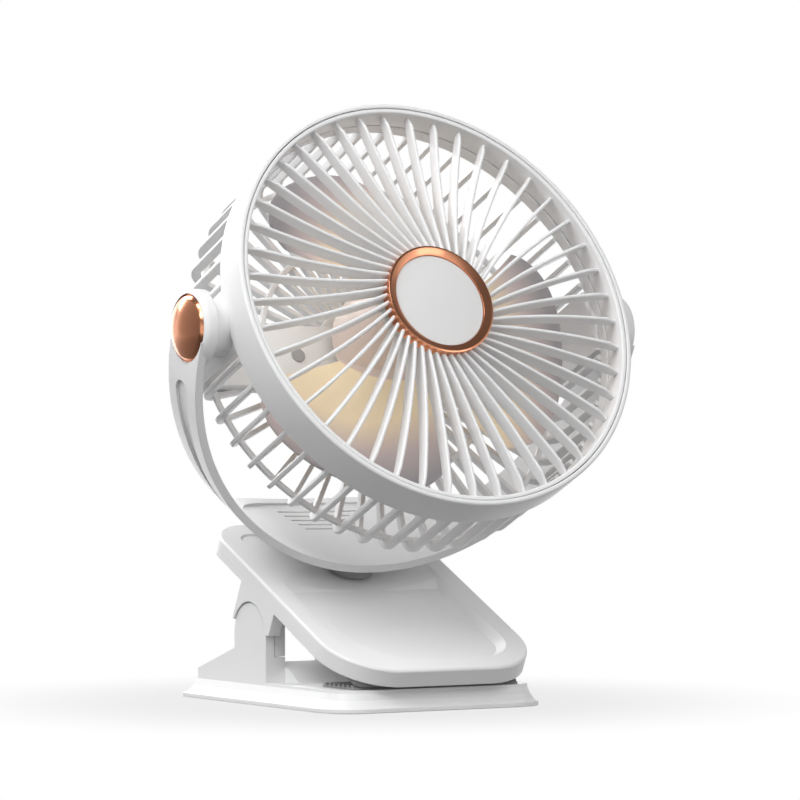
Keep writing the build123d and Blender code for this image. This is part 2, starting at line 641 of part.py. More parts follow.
def button_foot():
    """Underside of the power button, in the tray's frame."""
    return BOARD_FOOT + BOARD_THICK


def flange_width():
    """Width of the flange that keeps the button in the tail."""
    return BUTTON_WIDTH + 2 * BUTTON_FLANGE


def flange_height():
    """Height of the flange that keeps the button in the tail."""
    return BUTTON_HEIGHT + BUTTON_FLANGE


def flange_foot():
    """Underside of the button's flange, level with the button's."""
    return button_foot()


def make_power_button():
    """The power button in the tail of the tray, with a flange behind the wall."""
    back = TRAY_REAR + BUTTON_PROUD
    flange_back = TRAY_REAR - TRAY_WALL - BUTTON_GAP
    flange_front = flange_back - BUTTON_FLANGE
    foot = button_foot()
    stem = box((BUTTON_X - BUTTON_WIDTH / 2, flange_front, foot),
               (BUTTON_X + BUTTON_WIDTH / 2, back, foot + BUTTON_HEIGHT))
    stem = fillet(stem.edges().filter_by(Axis.Y), BUTTON_HEIGHT / 4)
    flange = box((BUTTON_X - flange_width() / 2, flange_front, flange_foot()),
                 (BUTTON_X + flange_width() / 2, flange_back, flange_foot() + flange_height()))
    return JAW_FRAME * (stem + flange)


def switch_back():
    """Rear end of the switch on the board, where the button meets it."""
    return TRAY_REAR - TRAY_WALL - BUTTON_GAP - BUTTON_FLANGE - BUTTON_TRAVEL - BUTTON_GAP


def make_circuit_board():
    """The circuit board in the tail, with the switch that the button presses."""
    rear = TRAY_REAR - TRAY_WALL - BOARD_SET_BACK
    top = BOARD_FOOT + BOARD_THICK
    board = box((-BOARD_WIDTH / 2, rear - BOARD_LENGTH, BOARD_FOOT), (BOARD_WIDTH / 2, rear, top))
    front = switch_back() - SWITCH_LENGTH
    switch = box((BUTTON_X - SWITCH_SIZE / 2, front, top - FUSE_DEPTH),
                 (BUTTON_X + SWITCH_SIZE / 2, switch_back(), top + SWITCH_SIZE))
    return JAW_FRAME * (board + switch)


def make_charging_port():
    """The charging port's metal shell, open to the rear, with its tongue."""
    foot = BOARD_FOOT + BOARD_THICK
    middle = Pos(PORT_X, 0, foot + PORT_HEIGHT / 2)
    profile = Plane.XZ * RectangleRounded(PORT_WIDTH, PORT_HEIGHT, PORT_HEIGHT * PORT_CORNER_SHARE)
    inner_height = PORT_HEIGHT - 2 * PORT_WALL
    inner = Plane.XZ * RectangleRounded(PORT_WIDTH - 2 * PORT_WALL, inner_height, inner_height * PORT_CORNER_SHARE)
    shell = extrude(profile, amount=-PORT_DEPTH) - Pos(0, PORT_WALL, 0) * extrude(inner, amount=-PORT_DEPTH)
    tongue_half = PORT_WIDTH / 2 - PORT_HEIGHT / 2
    tongue = box((-tongue_half, 0, -PORT_WALL), (tongue_half, PORT_DEPTH * PORT_TONGUE_SHARE, PORT_WALL))
    return JAW_FRAME * (Pos(0, TRAY_REAR - PORT_DEPTH, 0) * middle * (shell + tongue))


def make_tray_cover():
    """The plate that closes the tray from below, with the battery box."""
    plate = Pos(0, 0, -TRAY_THICK) * extrude(tray_outline(TRAY_WALL + SEAT_GAP), amount=COVER_THICK)
    half = BOX_WIDTH / 2
    plate += box((-half, -BOX_FRONT, BOX_FOOT), (half, BOX_REAR, COVER_TOP))
    inner = half - BOX_WALL
    plate -= box((-inner, BOX_WALL - BOX_FRONT, BOX_FOOT + BOX_WALL),
                 (inner, BOX_REAR - BOX_WALL, CUT_OVERRUN))
    room = LUG_HALF + SEAT_GAP
    slot = box((LUG_INSIDE - SEAT_GAP, -SWIVEL_BEHIND_HINGE - room, -2 * TRAY_THICK),
               (TRAY_WIDTH, -SWIVEL_BEHIND_HINGE + room, CUT_OVERRUN))
    plate -= mirrored_pair(slot)
    for x, y in screw_places():
        plate -= Pos(x, y) * disc(SCREW_RADIUS + SEAT_GAP, -2 * TRAY_THICK, CUT_OVERRUN)
        plate -= Pos(x, y) * disc(SCREW_HEAD + SEAT_GAP, -2 * TRAY_THICK, SCREW_HEAD_DEEP - TRAY_THICK)
    return JAW_FRAME * plate


def make_battery_cell():
    """The flat rechargeable cell in the battery box."""
    half = BOX_WIDTH / 2 - BOX_WALL - CELL_GAP
    foot = BOX_FOOT + BOX_WALL
    cell = box((-half, BOX_WALL + CELL_GAP - BOX_FRONT, foot),
               (half, BOX_REAR - BOX_WALL - CELL_GAP, foot + CELL_THICK))
    return JAW_FRAME * fillet(cell.edges().filter_by(Axis.Y), CELL_THICK / 4)


def make_tray_screws():
    """The four screws that hold the cover in the tray."""
    head_foot = -TRAY_THICK + SEAT_GAP
    screws = []
    for x, y in screw_places():
        head = disc(SCREW_HEAD, head_foot, SCREW_HEAD_DEEP - TRAY_THICK)
        shank = disc(SCREW_RADIUS, head_foot, COVER_TOP + SCREW_LENGTH - SEAT_GAP)
        slot = box((-SCREW_HEAD, -SCREW_RADIUS / 4, head_foot), (SCREW_HEAD, SCREW_RADIUS / 4, head_foot + SCREW_HEAD_DEEP / 2))
        screws.append(JAW_FRAME * Pos(x, y) * (head + shank - slot))
    return Compound(children=screws)


def make_upper_grip_pad():
    """The rubber pad under the tip of the upper jaw."""
    front = TIP_PAD_FRONT - TRAY_FRONT
    half = PAD_WIDTH / 2
    pad = box((-half, front, -TRAY_THICK - TIP_PAD_THICK), (half, front + TIP_PAD_LENGTH, -TRAY_THICK))
    return JAW_FRAME * fillet(pad.edges().filter_by(Axis.Z), TIP_PAD_LENGTH / 4)


def yoke_plan():
    """Plan of the yoke, in (X, V): straight arms and a dish that swells to the rear."""
    reach = BOSS_FACE + CAP_DOME
    middle = (ARM_REAR_EDGE - ARM_FRONT_EDGE) / 2
    arms = Pos(0, middle) * Rectangle(2 * reach, ARM_REAR_EDGE + ARM_FRONT_EDGE)
    dish = Pos(0, DISH_REACH - DISH_RADIUS) * Circle(DISH_RADIUS)
    front_cut = Pos(0, -ARM_FRONT_EDGE - reach) * Rectangle(4 * reach, 2 * reach)
    plan = arms + (dish - front_cut)
    corners = [v for v in plan.vertices() if abs(v.Y - ARM_REAR_EDGE) < SEAT_GAP and abs(v.X) < DISH_RADIUS]
    plan = fillet(corners, DISH_BLEND)
    half = FRONT_BULGE_SPAN / 2
    swell = ThreePointArc((-half, -ARM_FRONT_EDGE), (0, -ARM_FRONT_EDGE - FRONT_BULGE), (half, -ARM_FRONT_EDGE))
    inner = Polyline((half, -ARM_FRONT_EDGE), (half, 0), (-half, 0), (-half, -ARM_FRONT_EDGE))
    return plan + make_face(Curve() + [swell, inner])


def pivot_side(shape):
    """A shape made about Z, turned to point along +X, and its mirror image."""
    turned_shape = Rot(0, 90, 0) * shape
    return mirrored_pair(turned_shape)


def yoke_band():
    """The U itself: the lower half of a round band, cut to the plan, with an eye at each end."""
    band = extrude(Plane.XZ * (Circle(YOKE_RADIUS) - Circle(YOKE_RADIUS - YOKE_WALL)), amount=YOKE_RADIUS, both=True)
    lower = box((-2 * YOKE_RADIUS, -2 * YOKE_RADIUS, -2 * YOKE_RADIUS), (2 * YOKE_RADIUS, 2 * YOKE_RADIUS, 0))
    plan = Pos(0, 0, -2 * YOKE_RADIUS) * extrude(yoke_plan(), amount=4 * YOKE_RADIUS)
    band = band & lower & plan
    eye = disc(BOSS_RADIUS, BOSS_BACK, BOSS_FACE)
    eye = fillet(eye.edges().sort_by(Axis.Z)[-1:], BOSS_ROUND)
    return band + pivot_side(eye)


def dish_floor():
    """The sunk floor of the dish: a slice of the band's inside, within the rim of the plan."""
    inside = YOKE_RADIUS - YOKE_WALL
    slice_ring = Circle(inside + DISH_SINK) - Circle(inside - CUT_OVERRUN)
    floor = extrude(Plane.XZ * slice_ring, amount=YOKE_RADIUS, both=True)
    radius = DISH_RADIUS - DISH_RIM
    plan = Pos(0, DISH_REACH - DISH_RADIUS) * Circle(radius)
    front = Pos(0, -ARM_FRONT_EDGE + DISH_RIM + radius) * Rectangle(4 * radius, 2 * radius)
    room = Pos(0, 0, -2 * YOKE_RADIUS) * extrude(plan & front, amount=2 * YOKE_RADIUS)
    return floor & room


def dish_slits():
    """The curved slits across the rear of the dish."""
    floor = -(YOKE_RADIUS - YOKE_WALL + DISH_SINK)
    slits = []
    for index in range(SLIT_COUNT):
        v = SLIT_FIRST + index * SLIT_PITCH
        half = SLIT_FIRST_HALF + index * SLIT_GROWTH
        bow = half * half / (2 * DISH_RADIUS)
        line = ThreePointArc((-half, v - bow), (0, v), (half, v - bow))
        slit = extrude(trace(line, SLIT_WIDTH), amount=SLIT_DEPTH + SLIT_GROWTH + 2 * CUT_OVERRUN)
        slits.append(Pos(0, 0, floor - SLIT_DEPTH) * slit)
    return slits


def arm_groove():
    """The long drop-shaped groove on the outside of an arm, on the +X side."""
    half = GROOVE_WIDTH / 2
    middle = (ARM_REAR_EDGE - ARM_FRONT_EDGE) / 2
    top = -YOKE_RADIUS * math.sin(math.radians(GROOVE_TOP))
    end = -YOKE_RADIUS * math.sin(math.radians(GROOVE_END))
    drop = make_hull([*(Pos(middle, top - half) * Circle(half)).edges(),
                      *(Pos(middle, end) * Circle(half / 4)).edges()])
    cutter = cross_bar(drop, 0, 2 * YOKE_RADIUS)
    shell = Circle(2 * YOKE_RADIUS) - Circle(YOKE_RADIUS - GROOVE_DEPTH)
    return cutter & extrude(Plane.XZ * shell, amount=YOKE_RADIUS, both=True)


def swivel_post():
    """The boss and neck under the dish, which turn in the tray."""
    seat = PIVOT_HEIGHT + DECK_DEPTH - SLIDE_GAP
    neck_end = PIVOT_HEIGHT - TOP_PLATE_FOOT + SLIDE_GAP
    top = YOKE_RADIUS - YOKE_WALL / 2
    post = disc(SWIVEL_BOSS, -seat, -top) + disc(SWIVEL_NECK, -neck_end, -top)
    return post - disc(SWIVEL_SCREW, -neck_end - CUT_OVERRUN, -top)


def make_yoke():
    """The yoke: U band, dish, slits, arm grooves, pivot bosses and swivel post."""
    yoke = yoke_band() - mirrored_pair(arm_groove())
    yoke -= dish_floor()
    yoke -= dish_slits()
    yoke -= pivot_side(disc(CAP_RADIUS + SEAT_GAP, CAP_SEAT_X, 2 * BOSS_FACE))
    yoke -= pivot_side(disc(TRUNNION_RADIUS + RUN_CLEARANCE, BOSS_BACK - CUT_OVERRUN, BOSS_FACE))
    return YOKE_FRAME * (yoke + swivel_post())


def cap_solid():
    """A domed pivot cap about Z, with its foot in the boss's seat."""
    dome_radius = (CAP_RADIUS ** 2 + CAP_DOME ** 2) / (2 * CAP_DOME)
    foot = trunnion_end() + SLIDE_GAP
    body = disc(CAP_RADIUS, foot, BOSS_FACE + CAP_DOME)
    ball = Pos(0, 0, BOSS_FACE + CAP_DOME - dome_radius) * Sphere(dome_radius)
    body &= ball
    hollow = disc(pivot_head_radius() + 2 * SLIDE_GAP, foot - CUT_OVERRUN, BOSS_FACE + CAP_DOME / 2)
    return body - hollow


def trunnion_end():
    """Outer end of the pivot journals."""
    return CAP_SEAT_X


def pivot_head_radius():
    """Radius of the washer head that keeps the journal in the boss."""
    return TRUNNION_RADIUS + PIVOT_WASHER_LAP


def make_pivot_cap(side):
    """The rose-gold cap over one pivot, side -1 for left or 1 for right."""
    right = YOKE_FRAME * (Rot(0, 90, 0) * cap_solid())
    return right if side > 0 else mirror(right, about=Plane.YZ)


def make_swivel_ring():
    """The dark ring on the deck that the yoke's boss turns in."""
    top = YOKE_OVER_TRAY - SLIDE_GAP
    return JAW_FRAME * ring(SWIVEL_RING, SWIVEL_BOSS + RUN_CLEARANCE, -DECK_DEPTH, top)


def make_swivel_washer():
    """The washer under the tray that keeps the yoke's neck in place."""
    top = TOP_PLATE_FOOT - SLIDE_GAP
    return JAW_FRAME * ring(WASHER_RADIUS, SWIVEL_SCREW + SEAT_GAP, top - WASHER_THICK, top)


def make_swivel_screw():
    """The screw that holds the washer to the yoke's neck."""
    seat = TOP_PLATE_FOOT - SLIDE_GAP - WASHER_THICK
    head = disc(SWIVEL_SCREW_HEAD, seat - SWIVEL_SCREW_DEEP, seat)
    return JAW_FRAME * (head + disc(SWIVEL_SCREW, seat - FUSE_DEPTH, seat + TRAY_THICK))


def make_front_ring():
    """The plain outer ring round the grille."""
    band = ring(HEAD_RADIUS, RING_BORE, RING_BACK, HEAD_FRONT)
    outer = band.edges().filter_by(GeomType.CIRCLE).group_by(Axis.Z)[-1].sort_by(SortBy.RADIUS)
    band = fillet([outer[-1]], RING_EDGE)
    return HEAD_FRAME * band


def spoke():
    """One spoke: an arc from the hub to the rim in plan, with a sloping front."""
    inner = TRIM_RADIUS - TRIM_WALL
    outer = RIM_BORE + GRILLE_RIM / 2
    turn = math.radians(-SPOKE_SWEEP)
    start = Vector(inner * math.cos(turn), inner * math.sin(turn))
    end = Vector(outer, 0)
    across = Vector(-(end - start).Y, (end - start).X).normalized()
    middle = (start + end) * 0.5 + across * SPOKE_BOW
    strip = trace(ThreePointArc(start, middle, end), SPOKE_THICK)
    front = HEAD_FRONT - SPOKE_SET_BACK
    blade = Pos(0, 0, HUB_BACK) * extrude(strip, amount=front + SPOKE_RISE - HUB_BACK)
    back = front - SPOKE_DEPTH
    clear = TRIM_RADIUS + SEAT_GAP
    step = TRIM_BACK - FUSE_DEPTH
    outline = [(inner - CUT_OVERRUN, step), (clear, step), (clear, front + SPOKE_RISE),
               (RIM_BORE - SPOKE_CHAMFER, front), (RIM_RADIUS, front - SPOKE_CHAMFER / 2),
               (RIM_RADIUS, back), (inner - CUT_OVERRUN, back - SPOKE_DIP)]
    return blade & turned(outline)


def make_front_grille():
    """The front grille: rim, hub plate and the swept spokes."""
    front = HEAD_FRONT - GRILLE_SET_BACK
    grille = ring(RIM_RADIUS, RIM_BORE, front - GRILLE_RIM_DEPTH, front)
    hub = disc(TRIM_RADIUS - SEAT_GAP, HUB_BACK, TRIM_BACK)
    one = spoke()
    spokes = [Rot(0, 0, SPOKE_PHASE + 360 * index / SPOKE_COUNT) * one for index in range(SPOKE_COUNT)]
    return HEAD_FRAME * (grille + [hub] + spokes)


def make_hub_trim():
    """The rose-gold ring round the hub, with its front sloping inwards."""
    bore = TRIM_RADIUS - TRIM_WALL
    outline = [(bore, TRIM_BACK), (TRIM_RADIUS, TRIM_BACK), (TRIM_RADIUS, TRIM_FRONT - TRIM_BEVEL / 2),
               (TRIM_RADIUS - TRIM_BEVEL / 2, TRIM_FRONT), (bore, TRIM_FRONT - TRIM_BEVEL)]
    return HEAD_FRAME * turned(outline)


def make_hub_disc():
    """The grey disc in the middle of the hub."""
    radius = TRIM_RADIUS - TRIM_WALL - SEAT_GAP
    plate = disc(radius, TRIM_BACK, TRIM_FRONT - DISC_RECESS)
    return HEAD_FRAME * fillet(plate.edges().sort_by(Axis.Z)[-1:], SEAT_GAP * 4)


def rib_line():
    """Middle line of a guard rib, in (radius, height): along the drum, round a bend, to the hub."""
    outer = COLLAR_RADIUS - RIB_DEPTH / 2
    back = HEAD_BACK + RIB_DEPTH / 2
    corner = (outer, back)
    hub = (REAR_HUB_RADIUS - FUSE_DEPTH, back)
    return FilletPolyline((outer, RING_BACK + FUSE_DEPTH), corner, hub, radius=RIB_BEND)


def guard_ribs():
    """The ribs of the guard, all round except at the two pivots and the wire arm."""
    strip = Plane.XZ * trace(rib_line(), RIB_DEPTH)
    one = extrude(strip, amount=RIB_THICK / 2, both=True)
    pitch = 360 / RIB_COUNT
    ribs = []
    for index in range(RIB_COUNT):
        angle = (index + 0.5) * pitch
        from_pivot = min(angle % 180, 180 - angle % 180)
        if from_pivot > CHEEK_ANGLE - pitch / 4:
            ribs.append(Rot(0, 0, angle) * one)
    return ribs


def cheek():
    """The plain curved wall at the right pivot, with a neck and a journal for the yoke."""
    reach = 2 * HEAD_RADIUS
    half = reach * math.tan(math.radians(CHEEK_ANGLE))
    wedge = make_face(Polyline((0, 0), (reach, -half), (reach, half), close=True))
    back = HEAD_BACK + RIB_DEPTH
    sector = Pos(0, 0, back) * extrude(wedge, amount=RING_BACK + FUSE_DEPTH - back)
    wall = ring(COLLAR_RADIUS - SEAT_GAP, COLLAR_RADIUS - RIB_DEPTH, HEAD_BACK, HEAD_FRONT) & sector
    foot = COLLAR_RADIUS - RIB_DEPTH + FUSE_DEPTH
    neck = Rot(0, 90, 0) * disc(NECK_RADIUS, foot, NECK_END)
    ring_room = ring(HEAD_RADIUS + SEAT_GAP, RING_BORE - SEAT_GAP, RING_BACK - SEAT_GAP, HEAD_FRONT)
    journal = Rot(0, 90, 0) * disc(TRUNNION_RADIUS, foot, trunnion_end())
    return wall + (neck - ring_room) + journal


def wire_arm():
    """The floor of the channel from the left pivot to the motor."""
    outer = COLLAR_RADIUS - RIB_DEPTH + FUSE_DEPTH
    return box((-outer, -ARM_COVER_HALF, HEAD_BACK), (-REAR_HUB_RADIUS + FUSE_DEPTH, ARM_COVER_HALF, ARM_FRONT))


def make_rear_guard():
    """The rear guard: collar, ribs, hoops, pivot walls with journals, wire arm and motor plate."""
    guard = ring(COLLAR_RADIUS, COLLAR_RADIUS - COLLAR_WALL, RING_BACK - FUSE_DEPTH, RING_BACK + COLLAR_LAP)
    hoop_outer = COLLAR_RADIUS - HOOP_INSET
    hoop_front = HEAD_BACK + RIB_DEPTH - FUSE_DEPTH
    bend_front = HEAD_BACK + RIB_DEPTH + HOOP_LIFT
    outer_hoop = ring(hoop_outer, hoop_outer - HOOP_WIDTH, bend_front - HOOP_THICK, bend_front)
    mid_hoop = ring(MID_HOOP_RADIUS, MID_HOOP_RADIUS - HOOP_WIDTH, hoop_front, hoop_front + HOOP_THICK / 2)
    hub = disc(REAR_HUB_RADIUS, HEAD_BACK, REAR_HUB_FRONT)
    cheeks = mirrored_pair(cheek())
    guard = guard + guard_ribs() + [outer_hoop, mid_hoop, hub, wire_arm()] + cheeks
    for x, y in motor_screw_places():
        guard -= Pos(x, y) * disc(SCREW_RADIUS + SEAT_GAP, HEAD_BACK - CUT_OVERRUN, HEAD_FRONT)
    guard -= Pos(-PLUG_FROM_AXIS, 0) * disc(SCREW_RADIUS, HEAD_BACK, HEAD_FRONT)
    screw_hole = disc(SCREW_RADIUS, COLLAR_RADIUS, 2 * HEAD_RADIUS)
    return HEAD_FRAME * (guard - pivot_side(screw_hole))


def motor_screw_places():
    """The places of the screws that hold the motor."""
    step = 2 * math.pi / MOTOR_SCREWS
    return [(MOTOR_SCREW_CIRCLE * math.cos(step * i), MOTOR_SCREW_CIRCLE * math.sin(step * i))
            for i in range(MOTOR_SCREWS)]


def make_wire_cover():
    """The lid on the wire arm, inside the guard."""
    top = ARM_FRONT + ARM_COVER_THICK
    lid = box((-HEAD_RADIUS, -ARM_COVER_HALF, ARM_FRONT), (0, ARM_COVER_HALF, top))
    lid &= ring(COLLAR_RADIUS - RIB_DEPTH - SEAT_GAP, MOTOR_RADIUS + SLIDE_GAP, ARM_FRONT, top)
    return HEAD_FRAME * (lid - Pos(-PLUG_FROM_AXIS, 0) * disc(SCREW_RADIUS, HEAD_BACK, HEAD_FRONT))


def make_cover_plug():
    """The round grey plug that holds the wire cover."""
    seat = ARM_FRONT + ARM_COVER_THICK
    head = disc(PLUG_RADIUS, seat, seat + PLUG_PROUD)
    head = fillet(head.edges().sort_by(Axis.Z)[-1:], PLUG_PROUD / 2)
    shank = disc(SCREW_RADIUS - RUN_CLEARANCE, HEAD_BACK + ARM_FLOOR, seat + FUSE_DEPTH)
    return HEAD_FRAME * (Pos(-PLUG_FROM_AXIS, 0) * (head + shank))


def make_pivot_screws():
    """The washer-headed screws that keep the journals in the yoke."""
    head = disc(pivot_head_radius(), trunnion_end(), trunnion_end() + PLUG_PROUD)
    shank = disc(SCREW_RADIUS - RUN_CLEARANCE, COLLAR_RADIUS + CUT_OVERRUN, trunnion_end() + FUSE_DEPTH)
    return HEAD_FRAME * Compound(children=pivot_side(head + shank))


def make_rear_cap():
    """The round cap at the back that hides the motor screws."""
    cap = disc(REAR_CAP_RADIUS, HEAD_BACK - REAR_CAP_THICK, HEAD_BACK)
    cap = fillet(cap.edges().sort_by(Axis.Z)[:1], REAR_CAP_THICK / 2)
    room = disc(MOTOR_SCREW_CIRCLE + 2 * SCREW_HEAD, HEAD_BACK - REAR_CAP_THICK / 2, HEAD_BACK + CUT_OVERRUN)
    return HEAD_FRAME * (cap - room)


def make_motor_screws():
    """The screws from the back into the motor can."""
    head = disc(SCREW_HEAD, HEAD_BACK - SCREW_HEAD_DEEP, HEAD_BACK)
    shank = disc(SCREW_RADIUS, HEAD_BACK - FUSE_DEPTH, REAR_HUB_FRONT + MOTOR_WALL)
    return HEAD_FRAME * Compound(children=[Pos(x, y) * (head + shank) for x, y in motor_screw_places()])


def make_motor_can():
    """The motor's can, with a plate at each end for a bush."""
    can = disc(MOTOR_RADIUS, REAR_HUB_FRONT, MOTOR_FRONT)
    can -= disc(MOTOR_RADIUS - MOTOR_WALL, REAR_HUB_FRONT + MOTOR_WALL, MOTOR_FRONT - MOTOR_WALL)
    can -= disc(BUSH_RADIUS, REAR_HUB_FRONT - CUT_OVERRUN, HEAD_FRONT)
    for x, y in motor_screw_places():
        can -= Pos(x, y) * disc(SCREW_RADIUS, REAR_HUB_FRONT - CUT_OVERRUN, REAR_HUB_FRONT + 2 * MOTOR_WALL)
    return HEAD_FRAME * can


def bush_places():
    """Lower faces of the two bushes in the motor's end plates."""
    return REAR_HUB_FRONT, MOTOR_FRONT - BUSH_LENGTH


def make_motor_bushes():
    """The two bushes that the shaft runs in."""
    bore = SHAFT_RADIUS + RUN_CLEARANCE
    bushes = [ring(BUSH_RADIUS, bore, low, low + BUSH_LENGTH) for low in bush_places()]
    return HEAD_FRAME * Compound(children=bushes)


def inside_motor():
    """The room inside the motor between its bushes."""
    return REAR_HUB_FRONT + BUSH_LENGTH + SLIDE_GAP, MOTOR_FRONT - BUSH_LENGTH - SLIDE_GAP


def make_motor_stator():
    """The wound stator inside the can."""
    low, high = inside_motor()
    outer = MOTOR_RADIUS - MOTOR_WALL - SEAT_GAP
    return HEAD_FRAME * ring(outer, MAGNET_RADIUS + MAGNET_GAP, low, high)


def make_rotor_magnet():
    """The magnet on the shaft, inside the stator."""
    low, high = inside_motor()
    return HEAD_FRAME * ring(MAGNET_RADIUS, SHAFT_RADIUS, low, high)


def make_motor_shaft():
    """The shaft from the rear bush to the impeller."""
    low, _ = bush_places()
    return HEAD_FRAME * disc(SHAFT_RADIUS, low + SLIDE_GAP, IMPELLER_FRONT - IMPELLER_WALL)


def blade_face():
    """One blade's middle surface: a helical sheet, cambered, with its corners drawn in."""
    rows = 7
    columns = 9
    root = IMPELLER_HUB_FRONT - IMPELLER_WALL / 2
    points = []
    for row in range(rows):
        out = row / (rows - 1)
        line = []
        for column in range(columns):
            along = column / (columns - 1)
            edge = (2 * along - 1) ** 4
            tip = BLADE_TIP * (1 - BLADE_ROUND_SHARE * edge)
            radius = root + (tip - root) * out
            span = BLADE_SPAN_ROOT + (BLADE_SPAN_TIP - BLADE_SPAN_ROOT) * out
            angle = math.radians(BLADE_PHASE + BLADE_SWEEP * out + span * (along - 0.5))
            rise = BLADE_RISE_ROOT + (BLADE_RISE_TIP - BLADE_RISE_ROOT) * out
            height = BLADE_MIDDLE + rise * (along - 0.5) + BLADE_CAMBER * (1 - (2 * along - 1) ** 2) * out
            line.append(Vector(radius * math.cos(angle), radius * math.sin(angle), height))
        points.append(line)
    return Face.make_surface_from_array_of_points(points)


def impeller_hub():
    """The hollow cone of the impeller, which reaches over the motor, and its boss on the shaft."""
    back = MOTOR_FRONT - IMPELLER_SKIRT
    wall = IMPELLER_WALL
    cone = turned([(0, back), (IMPELLER_HUB_REAR, back), (IMPELLER_HUB_FRONT, IMPELLER_FRONT), (0, IMPELLER_FRONT)])
    hollow = turned([(0, back - wall), (IMPELLER_HUB_REAR - wall, back - wall),
                     (IMPELLER_HUB_FRONT - wall, IMPELLER_FRONT - wall), (0, IMPELLER_FRONT - wall)])
    boss = disc(2 * SHAFT_RADIUS + wall, MOTOR_FRONT + IMPELLER_GAP, IMPELLER_FRONT - FUSE_DEPTH)
    return cone, hollow, boss


def make_impeller():
    """The three-blade impeller."""
    cone, hollow, boss = impeller_hub()
    blade = thicken(blade_face(), amount=BLADE_THICK / 2, both=True)
    blades = [Rot(0, 0, 360 * index / BLADE_COUNT) * blade for index in range(BLADE_COUNT)]
    body = cone + blades
    body -= hollow
    shaft = disc(SHAFT_RADIUS, 2 * HEAD_BACK, IMPELLER_FRONT - IMPELLER_WALL)
    return HEAD_FRAME * (body + boss - shaft)


NODES = {
    "base_plate": make_base_plate,
    "base_sole": make_base_sole,
    "lower_grip_pad": make_lower_grip_pad,
    "hinge_pins": make_hinge_pins,
    "spring_rod": make_spring_rod,
    "clip_spring": make_clip_spring,
    "tray": make_tray,
    "tray_cover": make_tray_cover,
    "battery_cell": make_battery_cell,
    "circuit_board": make_circuit_board,
    "charging_port": make_charging_port,
    "power_button": make_power_button,
    "tray_screws": make_tray_screws,
    "upper_grip_pad": make_upper_grip_pad,
    "yoke": make_yoke,
    "pivot_cap_left": lambda: make_pivot_cap(-1),
    "pivot_cap_right": lambda: make_pivot_cap(1),
    "swivel_ring": make_swivel_ring,
    "swivel_washer": make_swivel_washer,
    "swivel_screw": make_swivel_screw,
    "pivot_screws": make_pivot_screws,
    "front_ring": make_front_ring,
    "front_grille": make_front_grille,
    "hub_trim": make_hub_trim,
    "hub_disc": make_hub_disc,
    "rear_guard": make_rear_guard,
    "wire_cover": make_wire_cover,
    "cover_plug": make_cover_plug,
    "rear_cap": make_rear_cap,
    "motor_screws": make_motor_screws,
    "motor_can": make_motor_can,
    "motor_bushes": make_motor_bushes,
    "motor_stator": make_motor_stator,
    "rotor_magnet": make_rotor_magnet,
    "motor_shaft": make_motor_shaft,
    "impeller": make_impeller,
}

os.makedirs("parts", exist_ok=True)
for node, make in NODES.items():
    export_step(make(), "parts/" + node + ".step")
print("jaw frame", JAW_FRAME.origin, "pivot", PIVOT)
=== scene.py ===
"""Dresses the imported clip-on fan: smooth skins over its solids, finishes, a plain stage and a camera."""
import json
import math

import bpy
import bmesh
import numpy as np
from bpy.props import FloatProperty, FloatVectorProperty, PointerProperty
from mathutils import Matrix, Vector


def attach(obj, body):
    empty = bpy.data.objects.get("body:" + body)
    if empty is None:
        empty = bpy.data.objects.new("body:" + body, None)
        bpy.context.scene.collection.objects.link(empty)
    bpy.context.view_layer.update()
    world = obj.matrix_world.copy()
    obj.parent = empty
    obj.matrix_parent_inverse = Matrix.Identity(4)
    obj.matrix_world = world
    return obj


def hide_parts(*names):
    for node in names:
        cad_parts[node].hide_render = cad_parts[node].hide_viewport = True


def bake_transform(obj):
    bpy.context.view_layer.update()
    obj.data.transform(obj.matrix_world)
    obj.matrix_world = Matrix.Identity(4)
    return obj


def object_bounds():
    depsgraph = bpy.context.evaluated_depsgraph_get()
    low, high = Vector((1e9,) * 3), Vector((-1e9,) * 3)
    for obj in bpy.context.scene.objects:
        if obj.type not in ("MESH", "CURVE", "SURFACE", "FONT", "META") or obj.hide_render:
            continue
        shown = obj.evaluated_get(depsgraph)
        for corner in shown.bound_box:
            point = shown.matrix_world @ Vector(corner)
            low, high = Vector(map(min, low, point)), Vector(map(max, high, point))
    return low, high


bl_info = {
    "name": "Clip-on fan",
    "version": (1, 0, 0),
    "blender": (4, 5, 0),
    "location": "View3D > Sidebar > Fan",
    "description": "Builds the skins, finishes and stage of a clip-on fan round its packed frame",
    "category": "Object",
}

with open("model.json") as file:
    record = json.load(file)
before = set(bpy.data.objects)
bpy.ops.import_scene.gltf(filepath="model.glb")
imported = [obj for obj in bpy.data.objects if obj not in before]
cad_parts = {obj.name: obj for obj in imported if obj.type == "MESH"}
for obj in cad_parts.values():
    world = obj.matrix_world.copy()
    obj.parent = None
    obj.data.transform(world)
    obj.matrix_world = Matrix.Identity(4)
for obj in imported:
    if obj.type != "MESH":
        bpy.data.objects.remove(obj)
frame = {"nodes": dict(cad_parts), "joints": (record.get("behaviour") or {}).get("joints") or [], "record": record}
CAD_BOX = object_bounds()
JOINTS = {joint["name"]: joint for joint in frame["joints"]}
SLOTS = {part["node"]: part["material_slot"] for part in frame["record"]["subparts"]}
MM = 0.001
# Decimals of a metre to which a size is read, since properties are stored in single precision
SIZE_DIGITS = 7

# Meshes: doubles that are merged, slivers that are removed, and the angle of a sharp edge
MERGE_DISTANCE = 0.002 * MM
SLIVER_LENGTH = 0.0005 * MM
SHARP_ANGLE = 35.0

# Room between two pieces that fit together, and how far one form runs into the next
FIT_GAP = 0.05 * MM
JOIN_LAP = 0.2 * MM

